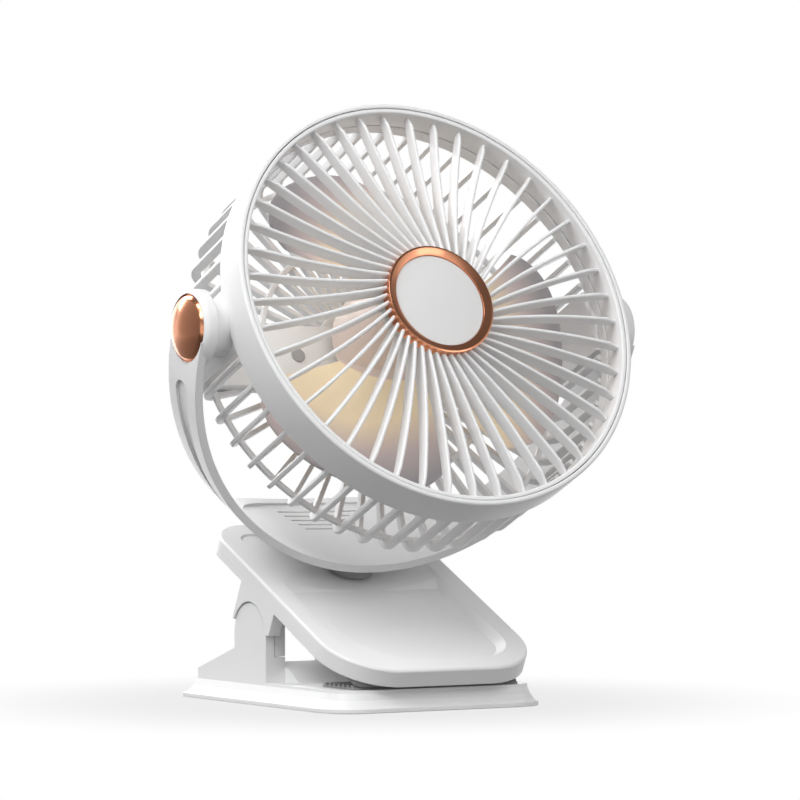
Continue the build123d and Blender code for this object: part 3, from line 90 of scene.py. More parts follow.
# Front guard, measured along the head's axis from the pivot, forwards.
# Corners are the radii of an outline's corners, in the order of its points.
HEAD_FRONT = 26.4 * MM
RING_OUTER = 88.2 * MM
RING_BORE = 86.2 * MM
RING_BACK = 9.2 * MM
RING_CORNERS = np.array([0.3, 0.5, 1.0, 0.4]) * MM
RIM_OUTER = 85.9 * MM
RIM_BORE = 84.1 * MM
RIM_FRONT = 26.1 * MM
RIM_BACK = 15.1 * MM
RIM_CORNERS = np.array([0.4, 0.4, 0.4, 0.7]) * MM
SPOKE_COUNT = 45
SPOKE_FRONT = 24.8 * MM
SPOKE_DEPTH = 5.0 * MM
SPOKE_DIP = 1.3 * MM
SPOKE_RISE = 1.3 * MM
SPOKE_CHAMFER = 5.0 * MM
SPOKE_SINK = 0.9 * MM
SPOKE_BACK_CHAMFER = 0.35 * MM
SPOKE_BACK_SHARE = 0.6
SPOKE_SWEEP = 19.0
SPOKE_PHASE = 3.5
# Places along a spoke, as shares of its chord: finer where its front falls off to the rim
SPOKE_STEPS = np.concatenate([np.linspace(0.045, 0.9, 14), np.linspace(0.915, 1, 7)])

# Hub
TRIM_RADIUS = 23.4 * MM
TRIM_BORE = 19.8 * MM
TRIM_FRONT = 28.3 * MM
TRIM_BACK = 22.3 * MM
TRIM_BEVEL = 0.3 * MM
TRIM_CREST = 0.8 * MM
TRIM_SLOPE = 1.3 * MM
TRIM_CORNERS = np.array([0.1, 0.1, 0.25, 0.3, 0.2]) * MM
DISC_FRONT = 26.9 * MM
DISC_CROWN = 0.3 * MM
DISC_CORNERS = np.array([0, 0.1, 0.5, 0]) * MM
HUB_BACK = 17.3 * MM
HUB_CORNERS = np.array([0, 0.8, 0.01, 0]) * MM

# Impeller
BLADE_COUNT = 3
BLADE_TIP = 76.0 * MM
BLADE_ROOT = 16.0 * MM
BLADE_SINK = 1.0 * MM
BLADE_SPAN_TIP = 77.0
BLADE_SPAN_ROOT = 66.0
BLADE_SWEEP = 3.5
BLADE_PHASE = -12.0
BLADE_RISE_ROOT = 24.0 * MM
BLADE_RISE_TIP = 25.0 * MM
BLADE_MIDDLE = -4.5 * MM
BLADE_ROUND_SHARE = 0.2
BLADE_EDGE_SHARE = 0.02
CONE_FRONT = 12.5 * MM
CONE_BACK = -18.4 * MM
CONE_FRONT_RADIUS = 17.0 * MM
CONE_BACK_RADIUS = 25.0 * MM
CONE_WALL = 2.0 * MM
CONE_CORNERS = np.array([0, 0.5, 0.3, 0.5, 1.6, 0]) * MM
BOSS_FOOT = -9.2 * MM
BOSS_TOP = CONE_FRONT - 1.0 * MM
BOSS_BORE = 1.5 * MM
BOSS_RADIUS = 5.0 * MM
BOSS_CORNER = 0.2 * MM

# Rear guard. Lows and highs of the hoops and the plate are heights over its back.
RIB_COUNT = 48
RIB_DEPTH = 3.8 * MM
RIB_OUTSIDE = 86.15 * MM
RIB_SINK = 0.5 * MM
RIB_CORNER = 0.5 * MM
RIB_DRUM_STEPS = 6
RIB_BEND_STEPS = 14
RIB_BACK_STEPS = 12
GUARD_BACK = -32.5 * MM
GUARD_HUB = 26.0 * MM
COLLAR_WALL = 2.2 * MM
COLLAR_LAP = 5.4 * MM
COLLAR_CORNER = 0.3 * MM
HOOP_RADIUS = RIB_OUTSIDE - 5.6 * MM
HOOP_WIDTH = 2.4 * MM
HOOP_LOW = 3.4 * MM
HOOP_HIGH = 5.4 * MM
HOOP_CORNER = 0.6 * MM
MIDDLE_HOOP_RADIUS = 52.0 * MM
MIDDLE_HOOP_LOW = 2.8 * MM
MIDDLE_HOOP_HIGH = 4.6 * MM
MIDDLE_HOOP_CORNER = 0.5 * MM
PLATE_HIGH = 4.6 * MM
PLATE_CORNERS = np.array([0, 1, 1, 0]) * MM
CHEEK_ANGLE = 9.0
CHEEK_CORNER = 0.8 * MM
NECK_RADIUS = 11.2 * MM
NECK_END = 94.6 * MM
NECK_CORNERS = np.array([0, 0.3, 0.8, 0.2, 0.3, 0]) * MM
JOURNAL_RADIUS = 6.0 * MM
JOURNAL_SHORT = 0.4 * MM
ARM_HALF = 13.0 * MM
ARM_FRONT = -25.9 * MM
ARM_SINK = 1.0 * MM
ARM_CORNER = 0.8 * MM
ARM_STEPS = 8

# Pivot caps, measured from the middle along the pivot axis
CAP_RADIUS = 13.3 * MM
CAP_FACE = 100.7 * MM
CAP_GAP = 0.5 * MM
CAP_CREASE = 0.89
CAP_EDGE_DROP = 1.4 * MM
CAP_EDGE_POWER = 1.2
CAP_FOOT = 99.4 * MM
CAP_LIP = 0.2 * MM

# Spring between the jaws
SPRING_RADIUS = 5.0 * MM
SPRING_PITCH = 2.6 * MM
SPRING_TURNS = 5
SPRING_TOP_LEG = 15.0 * MM
SPRING_LEG_FALL = 35.0
SPRING_FLOOR = 10.2 * MM
SPRING_COIL_STEPS = 200
SPRING_LEG_STEPS = 7
SPRING_SIDES = 14
JAW_SLOPE = 25.5

# Pearl of the blades: weights of what runs through its colours, their places, and its painted glow, which makes
# the blades look lit
PEARL_REACH = 0.8
PEARL_ALONG = 0.25
PEARL_CLOUD = 0.08
PEARL_STOPS = (0.48, 0.66, 0.82, 0.96)
PEARL_PAINTED_GLOW = 0.14
CONE_BLEND = 0.02

# Floor: its reach, and the ring in which it turns into the white surroundings
FLOOR_REACH = 6.0
FLOOR_SPECK = 0.99
FADE_START = 0.07
FADE_END = 0.2
FADE_NEAR = 0.8

# Lamps: name, place, size, and whether gloss mirrors it
LAMPS = (
    ("key", (-1.05, -0.3, 1.1), 0.8, True),
    ("front", (-0.3, -1.3, 0.85), 1.2, False),
    ("fill", (1.1, -0.7, 0.5), 1.0, True),
    ("back", (-0.2, 1.3, 1.0), 1.0, True),
)

# Dome round the stage: its radius, the angle at which it starts, and its glow by height
DOME_RADIUS = 2.4
DOME_START = 7.0
DOME_GLOW = ((0.3, 1.0), (0.75, 0.3), (1.4, 0.16))

# Flat cards: a corner, two edges and the points along each, then the axis along which the glow changes
# and its (place, level) pairs
CARDS = {
    "left_screen": ((-0.8, -0.3, 0.005), (0, 2.5, 0), (0, 0, 0.995), (12, 6), 1,
                    ((-0.1, 0.22), (0.9, 0.5), (1.9, 1.3))),
    "strip_screen": ((0.55, -1.72, 0.1), (0.7, 0.42, 0), (0, 0, 0.32), (4, 4), 2,
                     ((0.1, 2.6), (0.4, 2.2))),
    "floor_screen": ((-0.8, -0.3, 0.004), (0, 2.5, 0), (0.67, 0, 0), (12, 6), 1,
                     ((-0.1, 0.1), (0.5, 0.4), (1.6, 1.2))),
    "rear_screen": ((-0.35, 1.5, 0.005), (1.95, 0, 0), (0, 0, 0.895), (12, 6), 0,
                    ((-0.35, 1.0), (0.0, 2.2), (1.6, 2.2))),
    "ground_screen": ((-0.13, 0.2, 0.004), (1.13, 0, 0), (0, 1.3, 0), (8, 6), 1,
                      ((0.2, 1.4), (0.7, 2.2))),
}

# Camera
LENS = 202.5
SENSOR = 36
FAR_CLIP = 50
CAMERA_PLACE = (-0.9409, -1.56375, 0.1283)
CAMERA_LOOK = (0.5222, 0.8528, -0.0033)


class Place:
    """A frame on the object: an origin and three axes, to which flat arrays of points are carried."""

    def __init__(self, origin, along, side=(1, 0, 0)):
        z = np.array(along, float) / np.linalg.norm(along)
        x = np.array(side, float) - z * np.dot(side, z)
        x /= np.linalg.norm(x)
        self.origin = np.array(origin, float)
        self.axes = np.array([x, np.cross(z, x), z])

    def out(self, points):
        """origin + x * X + y * Y + z * Z for every point."""
        return self.origin + points @ self.axes


PIVOT = JOINTS["head_tilt"]["pos_m"]
HEAD = Place(PIVOT, JOINTS["rotor_spin"]["axis"])
JAW = Place(JOINTS["yoke_swivel"]["pos_m"], JOINTS["yoke_swivel"]["axis"])
HINGE = np.array(JOINTS["jaw_hinge"]["pos_m"], float)


class Wire:
    """One output of a shader node. Arithmetic on it adds Math nodes."""

    def __init__(self, graph, socket):
        self.graph = graph
        self.socket = socket

    def __add__(self, other):
        return self.graph.maths("ADD", self, other)

    def __sub__(self, other):
        return self.graph.maths("SUBTRACT", self, other)

    def __rsub__(self, other):
        return self.graph.maths("SUBTRACT", other, self)

    def __mul__(self, other):
        return self.graph.maths("MULTIPLY", self, other)

    def __truediv__(self, other):
        return self.graph.maths("DIVIDE", self, other)

    def __rtruediv__(self, other):
        return self.graph.maths("DIVIDE", other, self)

    __radd__ = __add__
    __rmul__ = __mul__


class Graph:
    """The nodes of one material, or of the world."""

    def __init__(self, owner):
        owner.use_nodes = True
        self.owner = owner
        self.tree = owner.node_tree
        self.tree.nodes.clear()

    def node(self, kind, settings, inputs, output=0):
        """Adds a node, sets its settings, then its sockets by value or by link."""
        made = self.tree.nodes.new(kind)
        for key, value in settings.items():
            if key == "stops":
                self.set_stops(made.color_ramp.elements, value)
            else:
                setattr(made, key, value)
        for key, value in inputs.items():
            if isinstance(value, Wire):
                self.tree.links.new(value.socket, made.inputs[key])
            else:
                made.inputs[key].default_value = value
        return Wire(self, made.outputs[output]) if made.outputs else None

    def set_stops(self, elements, stops):
        """Sets the (place, colour) pairs of a colour ramp."""
        while len(elements) < len(stops):
            elements.new(0.5)
        for element, (place, colour) in zip(elements, stops):
            element.position = place
            element.color = (*colour, 1)

    def maths(self, operation, *terms):
        return self.node("ShaderNodeMath", {"operation": operation}, dict(enumerate(terms)))

    def vectors(self, operation, *terms, output=0):
        return self.node("ShaderNodeVectorMath", {"operation": operation}, dict(enumerate(terms)), output)

    def coords(self):
        return self.node("ShaderNodeTexCoord", {}, {}, "Object")

    def noise(self, vector, scale, detail=2.0):
        return self.node("ShaderNodeTexNoise", {}, {"Vector": vector, "Scale": scale, "Detail": detail})

    def tint(self, factor, one, two):
        """Mixes two colours."""
        one, two = (c if isinstance(c, Wire) else (*c, 1) for c in (one, two))
        return self.node("ShaderNodeMix", {"data_type": "RGBA"}, {0: factor, 6: one, 7: two}, 2)

    def smooth_step(self, value, start, stop, low=0.0, high=1.0):
        """Runs smoothly from low to high while the value runs from start to stop."""
        return self.node("ShaderNodeMapRange", {"interpolation_type": "SMOOTHSTEP"},
                         {"Value": value, "From Min": start, "From Max": stop, "To Min": low, "To Max": high})

    def soft_edges(self, radius):
        """The normal of the surface with its edges rounded by a radius."""
        return self.node("ShaderNodeBevel", {"samples": 6}, {"Radius": radius})

    def bump(self, height, strength, distance, normal=None):
        inputs = {"Height": height, "Strength": strength, "Distance": distance}
        if normal:
            inputs["Normal"] = normal
        return self.node("ShaderNodeBump", {}, inputs)

    def seen(self):
        """1 for rays from the camera, in reflections and through glass, 0 for those that carry light."""
        camera, glossy, through = (self.node("ShaderNodeLightPath", {}, {}, f"Is {ray} Ray")
                                   for ray in ("Camera", "Glossy", "Transmission"))
        return self.maths("MAXIMUM", self.maths("MAXIMUM", camera, glossy), through)

    def principled(self, **sockets):
        """A Principled shader, whose sockets are named in small letters."""
        inputs = {key.replace("_", " ").title().replace("Ior", "IOR"): value
                  for key, value in sockets.items()}
        return self.node("ShaderNodeBsdfPrincipled", {}, inputs)

    def end(self, shader, kind="ShaderNodeOutputMaterial"):
        """Ends the graph in an output node and returns what it belongs to."""
        self.node(kind, {}, {"Surface": shader})
        return self.owner

    def finish(self, **sockets):
        """Ends the graph in a Principled shader and returns the material."""
        return self.end(self.principled(**sockets))


def new_graph(name):
    """The empty graph of a new material."""
    return Graph(bpy.data.materials.new(name))


def quads(rows, columns, wrap_rows, wrap_columns):
    """Faces of a grid: (i, j), (i + 1, j), (i + 1, j + 1), (i, j + 1), round again where it wraps."""
    index = np.arange(rows * columns).reshape(rows, columns)
    if wrap_rows:
        index = np.concatenate([index, index[:1]])
    if wrap_columns:
        index = np.concatenate([index, index[:, :1]], 1)
    return np.stack([index[:-1, :-1], index[1:, :-1], index[1:, 1:], index[:-1, 1:]], -1).reshape(-1, 4)


def card(corner, one, two, counts=(2, 2)):
    """A flat four-sided grid: corner + s * one + t * two, for s and t from 0 to 1."""
    s, t = np.meshgrid(*(np.linspace(0, 1, count) for count in counts), indexing="ij")
    return np.array(corner) + s[..., None] * np.array(one) + t[..., None] * np.array(two)


def shut(rings, middles):
    """Rows of closed rings, with a row of one repeated point before the first and after the last."""
    first, last = (np.repeat(middles[i:i + 1, None], rings.shape[1], 1) for i in (0, len(rings) - 1))
    return np.concatenate([first, rings, last])


def lathe(profile, place, turns, start=0.0, stop=360.0):
    """Turns a closed (radius, height) outline about the frame's Z: (r cos a, r sin a, z) for each angle a."""
    whole = stop - start >= 360
    angles = np.radians(np.linspace(start, stop, turns, endpoint=not whole))[:, None]
    radius, height = np.asarray(profile, float).T
    points = np.stack(np.broadcast_arrays(radius * np.cos(angles), radius * np.sin(angles), height), -1)
    if not whole:
        points = shut(points, points.mean(1))
    return place.out(points), whole, True


def rounded(corners, radii, steps=4):
    """A closed outline whose corners are rounded: each is swapped for an arc of its own radius."""
    corners = np.asarray(corners, float)
    before = np.roll(corners, 1, 0) - corners
    after = np.roll(corners, -1, 0) - corners
    before /= np.linalg.norm(before, axis=1)[:, None]
    after /= np.linalg.norm(after, axis=1)[:, None]
    half = np.arccos(np.clip((before * after).sum(1), -1, 1)) / 2
    bisector = before + after
    bisector /= np.linalg.norm(bisector, axis=1)[:, None]
    radii = np.broadcast_to(np.asarray(radii, float), len(corners))[:, None]
    middle = corners + bisector * radii / np.sin(half)[:, None]
    one = corners + before * radii / np.tan(half)[:, None] - middle
    two = corners + after * radii / np.tan(half)[:, None] - middle
    share = np.linspace(0, 1, steps + 1)[None, :, None]
    arc = one[:, None] * (1 - share) + two[:, None] * share
    length = np.linalg.norm(arc, axis=2, keepdims=True)
    arc = arc / np.where(length > 0, length, 1) * radii[:, None]
    return (middle[:, None] + arc).reshape(-1, 2)


def band(outside, width, low, high, corner, steps=4):
    """Outline of a ring: a rectangle in (radius, height), from the back of its bore round to the front."""
    return rounded([(outside - width, low), (outside, low), (outside, high), (outside - width, high)],
                   corner, steps)


def bar(half, deep, corner):
    """Section of a bar: a rectangle about its middle, with rounded corners."""
    return rounded([(-half, -deep), (half, -deep), (half, deep), (-half, deep)], corner)


def strap(path, side, up, section):
    """Carries a closed section along a path: path + a * side + b * up for each (a, b), its ends shut."""
    a, b = np.asarray(section, float).T
    return shut(path[:, None] + a[:, None] * side[:, None] + b[:, None] * up[:, None], path)


def turned_about_axis(points, degrees):
    """The points turned about the local Z axis by each angle, one grid for each."""
    angle = np.radians(np.asarray(degrees, float))[:, None, None]
    x, y, z = points[..., 0], points[..., 1], points[..., 2]
    return np.stack([x * np.cos(angle) - y * np.sin(angle), x * np.sin(angle) + y * np.cos(angle),
                     np.broadcast_to(z, (len(degrees), *z.shape))], -1)


def on_head(forms):
    """Grids that are closed across, carried to the head."""
    return [(HEAD.out(form), False, True) for form in forms]


def make_piece(name, body, nodes, finish, grids):
    """Joins grids of points into one mesh, shuts its seams and stands it in for the CAD nodes."""
    vertices, faces, count = [], [], 0
    for grid, wrap_rows, wrap_columns in grids:
        faces.append(quads(*grid.shape[:2], wrap_rows, wrap_columns) + count)
        vertices.append(grid.reshape(-1, 3))
        count += len(vertices[-1])
    mesh = bpy.data.meshes.new(name)
    mesh.from_pydata(np.concatenate(vertices).tolist(), [], np.concatenate(faces).tolist())
    work = bmesh.new()
    work.from_mesh(mesh)
    bmesh.ops.remove_doubles(work, verts=work.verts, dist=MERGE_DISTANCE)
    bmesh.ops.dissolve_degenerate(work, edges=work.edges, dist=SLIVER_LENGTH)
    bmesh.ops.recalc_face_normals(work, faces=work.faces)
    work.to_mesh(mesh)
    work.free()
    mesh.shade_smooth()
    mesh.set_sharp_from_angle(angle=math.radians(SHARP_ANGLE))
    piece = bpy.data.objects.new(name, mesh)
    bpy.context.scene.collection.objects.link(piece)
    mesh.materials.append(finish)
    if body:
        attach(piece, body)
    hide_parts(*nodes)
    return piece


def moulded(name, colour, roughness, edge=0.0, grain=0.05, mottle=0.03, coat=0.0, specular=0.5):
    """Moulded plastic or rubber: faint mottling, fine eroded grain and softened edges."""
    graph = new_graph(name)
    coords = graph.coords()
    cloud = graph.noise(coords, 35.0)
    pits = graph.noise(coords, 2600.0, 1.0)
    dark = tuple(channel * (1 - mottle) for channel in colour)
    normal = graph.soft_edges(edge) if edge else None
    sockets = {
        "base_color": graph.tint(cloud, dark, colour),
        "roughness": roughness - 0.05 + graph.noise(coords, 90.0) * 0.1,
        "normal": graph.bump(pits, grain, 0.05 * MM, normal),
        "specular_ior_level": specular,
    }
    if coat:
        sockets["coat_weight"] = coat
        sockets["coat_roughness"] = 0.15
    return graph.finish(**sockets)


def polished(name, colour, dull, roughness, edge=0.0, scale=400.0):
    """Polished metal: a slight change of tone, gloss and height over the surface."""
    graph = new_graph(name)
    cloud = graph.noise(graph.coords(), scale, 3.0)
    normal = graph.soft_edges(edge) if edge else None
    return graph.finish(
        base_color=graph.tint(cloud, dull, colour),
        metallic=1.0,
        roughness=roughness + cloud * 0.06,
        normal=graph.bump(cloud, 0.02, 0.02 * MM, normal),
    )


def from_origin(graph, place):
    """Where the surface is, seen from the origin of a frame on the object."""
    return graph.vectors("SUBTRACT", graph.coords(), tuple(place.origin))


def from_axis(graph, place):
    """Distance of the surface from an axis of the object: length of (point - origin) x axis."""
    across = graph.vectors("CROSS_PRODUCT", from_origin(graph, place), tuple(place.axes[2]))
    return graph.vectors("LENGTH", across, output="Value")


def along_blade(graph, place):
    """Place between the side edges of a blade, 0 to 1: the angle about the axis in one blade's share."""
    offset = from_origin(graph, place)
    x, y = (graph.vectors("DOT_PRODUCT", offset, tuple(axis), output="Value") for axis in place.axes[:2])
    share = 360 / BLADE_COUNT
    turn = graph.maths("ARCTAN2", y, x) * math.degrees(1) - (BLADE_PHASE + BLADE_SWEEP - share / 2)
    return (graph.maths("FLOORED_MODULO", turn, share) - share / 2) / BLADE_SPAN_TIP + 0.5


def champagne(name, tone):
    """Pearly plastic: champagne at a blade's root and rear edge, mauve and grey to its tip and front edge; the
    grey at the tip is partly painted shade, where the ring shades the blades.
    """
    graph = new_graph(name)
    reach = from_axis(graph, HEAD) / BLADE_TIP
    cloud = graph.noise(graph.coords(), 30.0) * PEARL_CLOUD
    place = reach * PEARL_REACH + along_blade(graph, HEAD) * PEARL_ALONG + cloud
    colours = (tone.blade_root, tone.blade_middle, tone.blade_outer, tone.blade_tip)
    shade = graph.node("ShaderNodeValToRGB", {"stops": list(zip(PEARL_STOPS, colours))}, {0: place})
    pearl = graph.noise(graph.coords(), 1800.0, 1.0)
    foot = CONE_BACK_RADIUS / BLADE_TIP
    return graph.finish(
        base_color=graph.tint(graph.smooth_step(reach, foot, foot + CONE_BLEND), tone.cone, shade),
        roughness=0.3 + pearl * 0.08,
        coat_weight=0.3,
        coat_roughness=0.12,
        # Painted glow: the blades give off their own colour so that they look brightly lit
        emission_color=shade,
        emission_strength=PEARL_PAINTED_GLOW,
        normal=graph.bump(pearl, 0.03, 0.03 * MM),
    )


class FanSizes(bpy.types.PropertyGroup):
    """Sizes of the skins that a user may change."""

    spoke_thickness: FloatProperty(name="Spoke thickness", description="Across a spoke of the front guard",
                                   unit="LENGTH", default=1.45 * MM)
    spoke_bow: FloatProperty(name="Spoke bow", description="How far a spoke bows from its chord",
                             unit="LENGTH", default=1.6 * MM)
    rib_thickness: FloatProperty(name="Rib thickness", description="Across a rib of the rear guard",
                                 unit="LENGTH", default=2.0 * MM)
    rib_bend: FloatProperty(name="Rib bend", description="Radius at which a rib turns inwards",
                            unit="LENGTH", default=8.0 * MM)
    blade_thickness: FloatProperty(name="Blade thickness", description="Through a blade, away from its edges",
                                   unit="LENGTH", default=1.7 * MM)
    blade_camber: FloatProperty(name="Blade camber", description="How far a blade bows at its tip",
                                unit="LENGTH", default=-3.0 * MM)
    cap_dome: FloatProperty(name="Cap dome", description="Height of the dome of a pivot cap",
                            unit="LENGTH", default=3.6 * MM)
    wire_radius: FloatProperty(name="Wire radius", description="Half the thickness of the spring's wire",
                               unit="LENGTH", default=0.9 * MM)


class FanColours(bpy.types.PropertyGroup):
    """Colours that a user may change."""

    white: FloatVectorProperty(name="White", description="Moulded body",
                               subtype="COLOR", default=(0.80, 0.80, 0.805))
    rose: FloatVectorProperty(name="Rose gold", description="Polished trim",
                              subtype="COLOR", default=(0.84, 0.38, 0.22))
    rose_dull: FloatVectorProperty(name="Rose gold, dull", description="Darker clouds of the trim",
                                   subtype="COLOR", default=(0.76, 0.32, 0.18))
    hub: FloatVectorProperty(name="Hub grey", description="Disc in the hub",
                             subtype="COLOR", default=(0.72, 0.72, 0.72))
    blade_root: FloatVectorProperty(name="Blade root", description="Champagne next to the cone",
                                    subtype="COLOR", default=(0.95, 0.79, 0.54))
    blade_middle: FloatVectorProperty(name="Blade middle", description="Champagne half way out",
                                      subtype="COLOR", default=(0.92, 0.75, 0.51))
    blade_outer: FloatVectorProperty(name="Blade outer", description="Mauve towards the tip",
                                     subtype="COLOR", default=(0.56, 0.46, 0.44))
    # Grey at the tip: partly the pearl's own tint, partly painted shade where the ring shades the tips
    blade_tip: FloatVectorProperty(name="Blade tip", description="Grey at the tip",
                                   subtype="COLOR", default=(0.31, 0.29, 0.3))
    cone: FloatVectorProperty(name="Cone", description="Middle of the impeller",
                              subtype="COLOR", default=(0.62, 0.5, 0.48))
    rubber: FloatVectorProperty(name="Rubber", description="Grip pads",
                                subtype="COLOR", default=(0.26, 0.26, 0.26))
    plug: FloatVectorProperty(name="Plug grey", description="Plug and button",
                              subtype="COLOR", default=(0.45, 0.45, 0.455))
    floor: FloatVectorProperty(name="Floor", description="Floor of the stage",
                               subtype="COLOR", default=(0.14, 0.14, 0.14))


class FanLight(bpy.types.PropertyGroup):
    """Levels of the stage's light."""

    key: FloatProperty(name="Key", description="Soft lamp at the upper left", unit="POWER", default=13.5)
    front: FloatProperty(name="Front", description="Soft lamp above the camera", unit="POWER", default=7.8)
    fill: FloatProperty(name="Fill", description="Soft lamp at the right", unit="POWER", default=0.7)
    back: FloatProperty(name="Back", description="Soft lamp behind", unit="POWER", default=17.0)
    sky: FloatProperty(name="Sky", description="Light from all round", default=0.55)


def size_of(name):
    """The size with this name, in metres, as it was written."""
    return round(getattr(bpy.context.scene.fan_sizes, name), SIZE_DIGITS)


def finish_of(name):
    """The finish with this name, made on first use."""
    label = name + "_finish"
    if label in bpy.data.materials:
        return bpy.data.materials[label]
    tone = bpy.context.scene.fan_colours
    makers = {
        "white_skin": lambda: moulded(label, tone.white, 0.34),
        "white_shell": lambda: moulded(label, tone.white, 0.34, edge=0.5 * MM),
        # Wire cover in a brighter white than the body: painted light, so the cover inside the head looks brightly
        # lit
        "white_lid": lambda: moulded(label, (0.95, 0.95, 0.95), 0.4, edge=0.3 * MM),
        "rose_gold": lambda: polished(label, tone.rose, tone.rose_dull, 0.16, scale=60.0),
        "hub_grey": lambda: moulded(label, tone.hub, 0.3, mottle=0.02, coat=0.3),
        "champagne": lambda: champagne(label, tone),
        "grey_rubber": lambda: moulded(label, tone.rubber, 0.75, grain=0.25, mottle=0.1, specular=0.3),
        "dark_rubber": lambda: moulded(label, (0.05, 0.05, 0.05), 0.8, grain=0.3, mottle=0.2, specular=0.3),
        # Swivel ring in mid grey: painted shade, standing in for the shadow under the dish
        "swivel_dark": lambda: moulded(label, (0.3, 0.3, 0.3), 0.6, edge=0.3 * MM, specular=0.2),
        "grey_plastic": lambda: moulded(label, tone.plug, 0.4, edge=0.3 * MM),
        "steel": lambda: polished(label, (0.62, 0.62, 0.63), (0.5, 0.5, 0.51), 0.25, edge=0.2 * MM),
        "spring_steel": lambda: polished(label, (0.52, 0.52, 0.54), (0.4, 0.4, 0.42), 0.28, scale=900.0),
        "cell_foil": lambda: polished(label, (0.55, 0.6, 0.68), (0.45, 0.5, 0.6), 0.4),
        "board": lambda: moulded(label, (0.03, 0.2, 0.09), 0.45, edge=0.1 * MM),
        "motor_steel": lambda: polished(label, (0.55, 0.55, 0.55), (0.42, 0.42, 0.42), 0.3),
        "bush_brass": lambda: polished(label, (0.7, 0.5, 0.2), (0.6, 0.42, 0.16), 0.35),
        "winding": lambda: polished(label, (0.65, 0.3, 0.14), (0.45, 0.2, 0.1), 0.4),
        "magnet": lambda: polished(label, (0.12, 0.12, 0.13), (0.08, 0.08, 0.09), 0.5),
    }
    return makers[name]()


class FAN_OT_stage(bpy.types.Operator):
    """Floor, soft lamps, pale surroundings and the camera"""

    bl_idname = "clip_fan.stage"
    bl_label = "Stage"

    def execute(self, context):
        scene = context.scene
        scene.view_settings.view_transform = "Standard"
        self.make_floor(scene)
        for name, place, size, shines in LAMPS:
            self.make_lamp(scene, name, place, size, shines)
        self.make_screens(scene)
        self.make_sky(scene)
        self.make_camera(scene)
        return {"FINISHED"}

    def make_form(self, scene, name, grid, wrap, material):
        """Puts a grid of points on the stage."""
        mesh = bpy.data.meshes.new(name)
        mesh.from_pydata(grid.reshape(-1, 3).tolist(), [], quads(*grid.shape[:2], wrap, False).tolist())
        mesh.materials.append(material)
        form = bpy.data.objects.new(name, mesh)
        scene.collection.objects.link(form)
        return form

    def make_floor(self, scene):
        """A square, level with the sole, that turns into the white surroundings away from the shadow."""
        graph = new_graph("floor")
        tone = scene.fan_colours.floor
        speck = graph.noise(graph.coords(), 8.0)
        plain = graph.principled(base_color=graph.tint(speck, tuple(c * FLOOR_SPECK for c in tone), tone),
                                 roughness=0.9, specular_ior_level=0.1)
        distance = graph.vectors("LENGTH", graph.coords(), output="Value")
        white = graph.smooth_step(distance, FADE_START, FADE_END, low=FADE_NEAR)
        glow = graph.node("ShaderNodeEmission", {}, {"Color": (1, 1, 1, 1), "Strength": 1.0})
        mixed = graph.node("ShaderNodeMixShader", {}, {0: white * graph.seen(), 1: plain, 2: glow})
        square = card((-FLOOR_REACH, -FLOOR_REACH, 0), (2 * FLOOR_REACH, 0, 0), (0, 2 * FLOOR_REACH, 0))
        self.make_form(scene, "floor", square, False, graph.end(mixed))

    def make_lamp(self, scene, name, place, size, shines):
        """A square lamp that faces the middle of the fan."""
        lamp = bpy.data.lights.new(name + "_lamp", "AREA")
        lamp.energy = getattr(scene.fan_light, name)
        lamp.size = size
        holder = bpy.data.objects.new(name + "_lamp", lamp)
        holder.visible_glossy = shines
        aim = (CAD_BOX[0] + CAD_BOX[1]) / 2 - Vector(place)
        holder.matrix_world = Matrix.Translation(place) @ aim.to_track_quat("-Z", "Y").to_matrix().to_4x4()
        scene.collection.objects.link(holder)

    def make_screens(self, scene):
        """Screens that only the gloss mirrors: a dome, R cos a out and R sin a up, and the flat cards."""
        rise = np.radians(np.linspace(DOME_START, 90, 24))
        arc = DOME_RADIUS * np.stack([np.cos(rise), np.sin(rise)], -1)
        dome = lathe(arc, Place((0, 0, 0), (0, 0, 1)), turns=64)[0]
        self.make_screen(scene, "dome_screen", dome, True, 2, DOME_GLOW)
        for name, (corner, one, two, counts, axis, glow) in CARDS.items():
            self.make_screen(scene, name, card(corner, one, two, counts), False, axis, glow)

    def make_screen(self, scene, name, grid, wrap, axis, stops):
        """A grid of points that glows by its place along one axis: (place, level) pairs, joined smoothly."""
        graph = new_graph(name)
        place = graph.node("ShaderNodeSeparateXYZ", {}, {0: graph.coords()}, axis)
        low, high = stops[0][0], stops[-1][0]
        ramp = [((at - low) / (high - low), (level,) * 3) for at, level in stops]
        tone = graph.node("ShaderNodeValToRGB", {"stops": ramp}, {0: (place - low) / (high - low)})
        material = graph.finish(base_color=(0, 0, 0, 1), roughness=1.0, specular_ior_level=0.0,
                                emission_color=tone, emission_strength=1.0)
        screen = self.make_form(scene, name, grid, wrap, material)
        screen.visible_camera = False
        screen.visible_diffuse = False
        screen.visible_shadow = False

    def make_sky(self, scene):
        """White to the camera, in reflections and through glass, dimmer as light."""
        graph = Graph(bpy.data.worlds.new("surroundings"))
        level = graph.node("ShaderNodeMapRange", {},
                           {"Value": graph.seen(), "To Min": scene.fan_light.sky, "To Max": 1.0})
        glow = graph.node("ShaderNodeBackground", {}, {"Color": (1, 1, 1, 1), "Strength": level})
        scene.world = graph.end(glow, "ShaderNodeOutputWorld")

    def make_camera(self, scene):
        """The photograph's viewing angle."""
        data = bpy.data.cameras.new("camera")
        data.sensor_width = SENSOR
        data.lens = LENS
        data.clip_end = FAR_CLIP
        camera = bpy.data.objects.new("camera", data)
        look = Vector(CAMERA_LOOK).normalized()
        right = look.cross(Vector((0, 0, 1))).normalized()
        turn = Matrix((right, right.cross(look), -look)).transposed().to_4x4()
        camera.matrix_world = Matrix.Translation(CAMERA_PLACE) @ turn
        scene.collection.objects.link(camera)
        scene.camera = camera


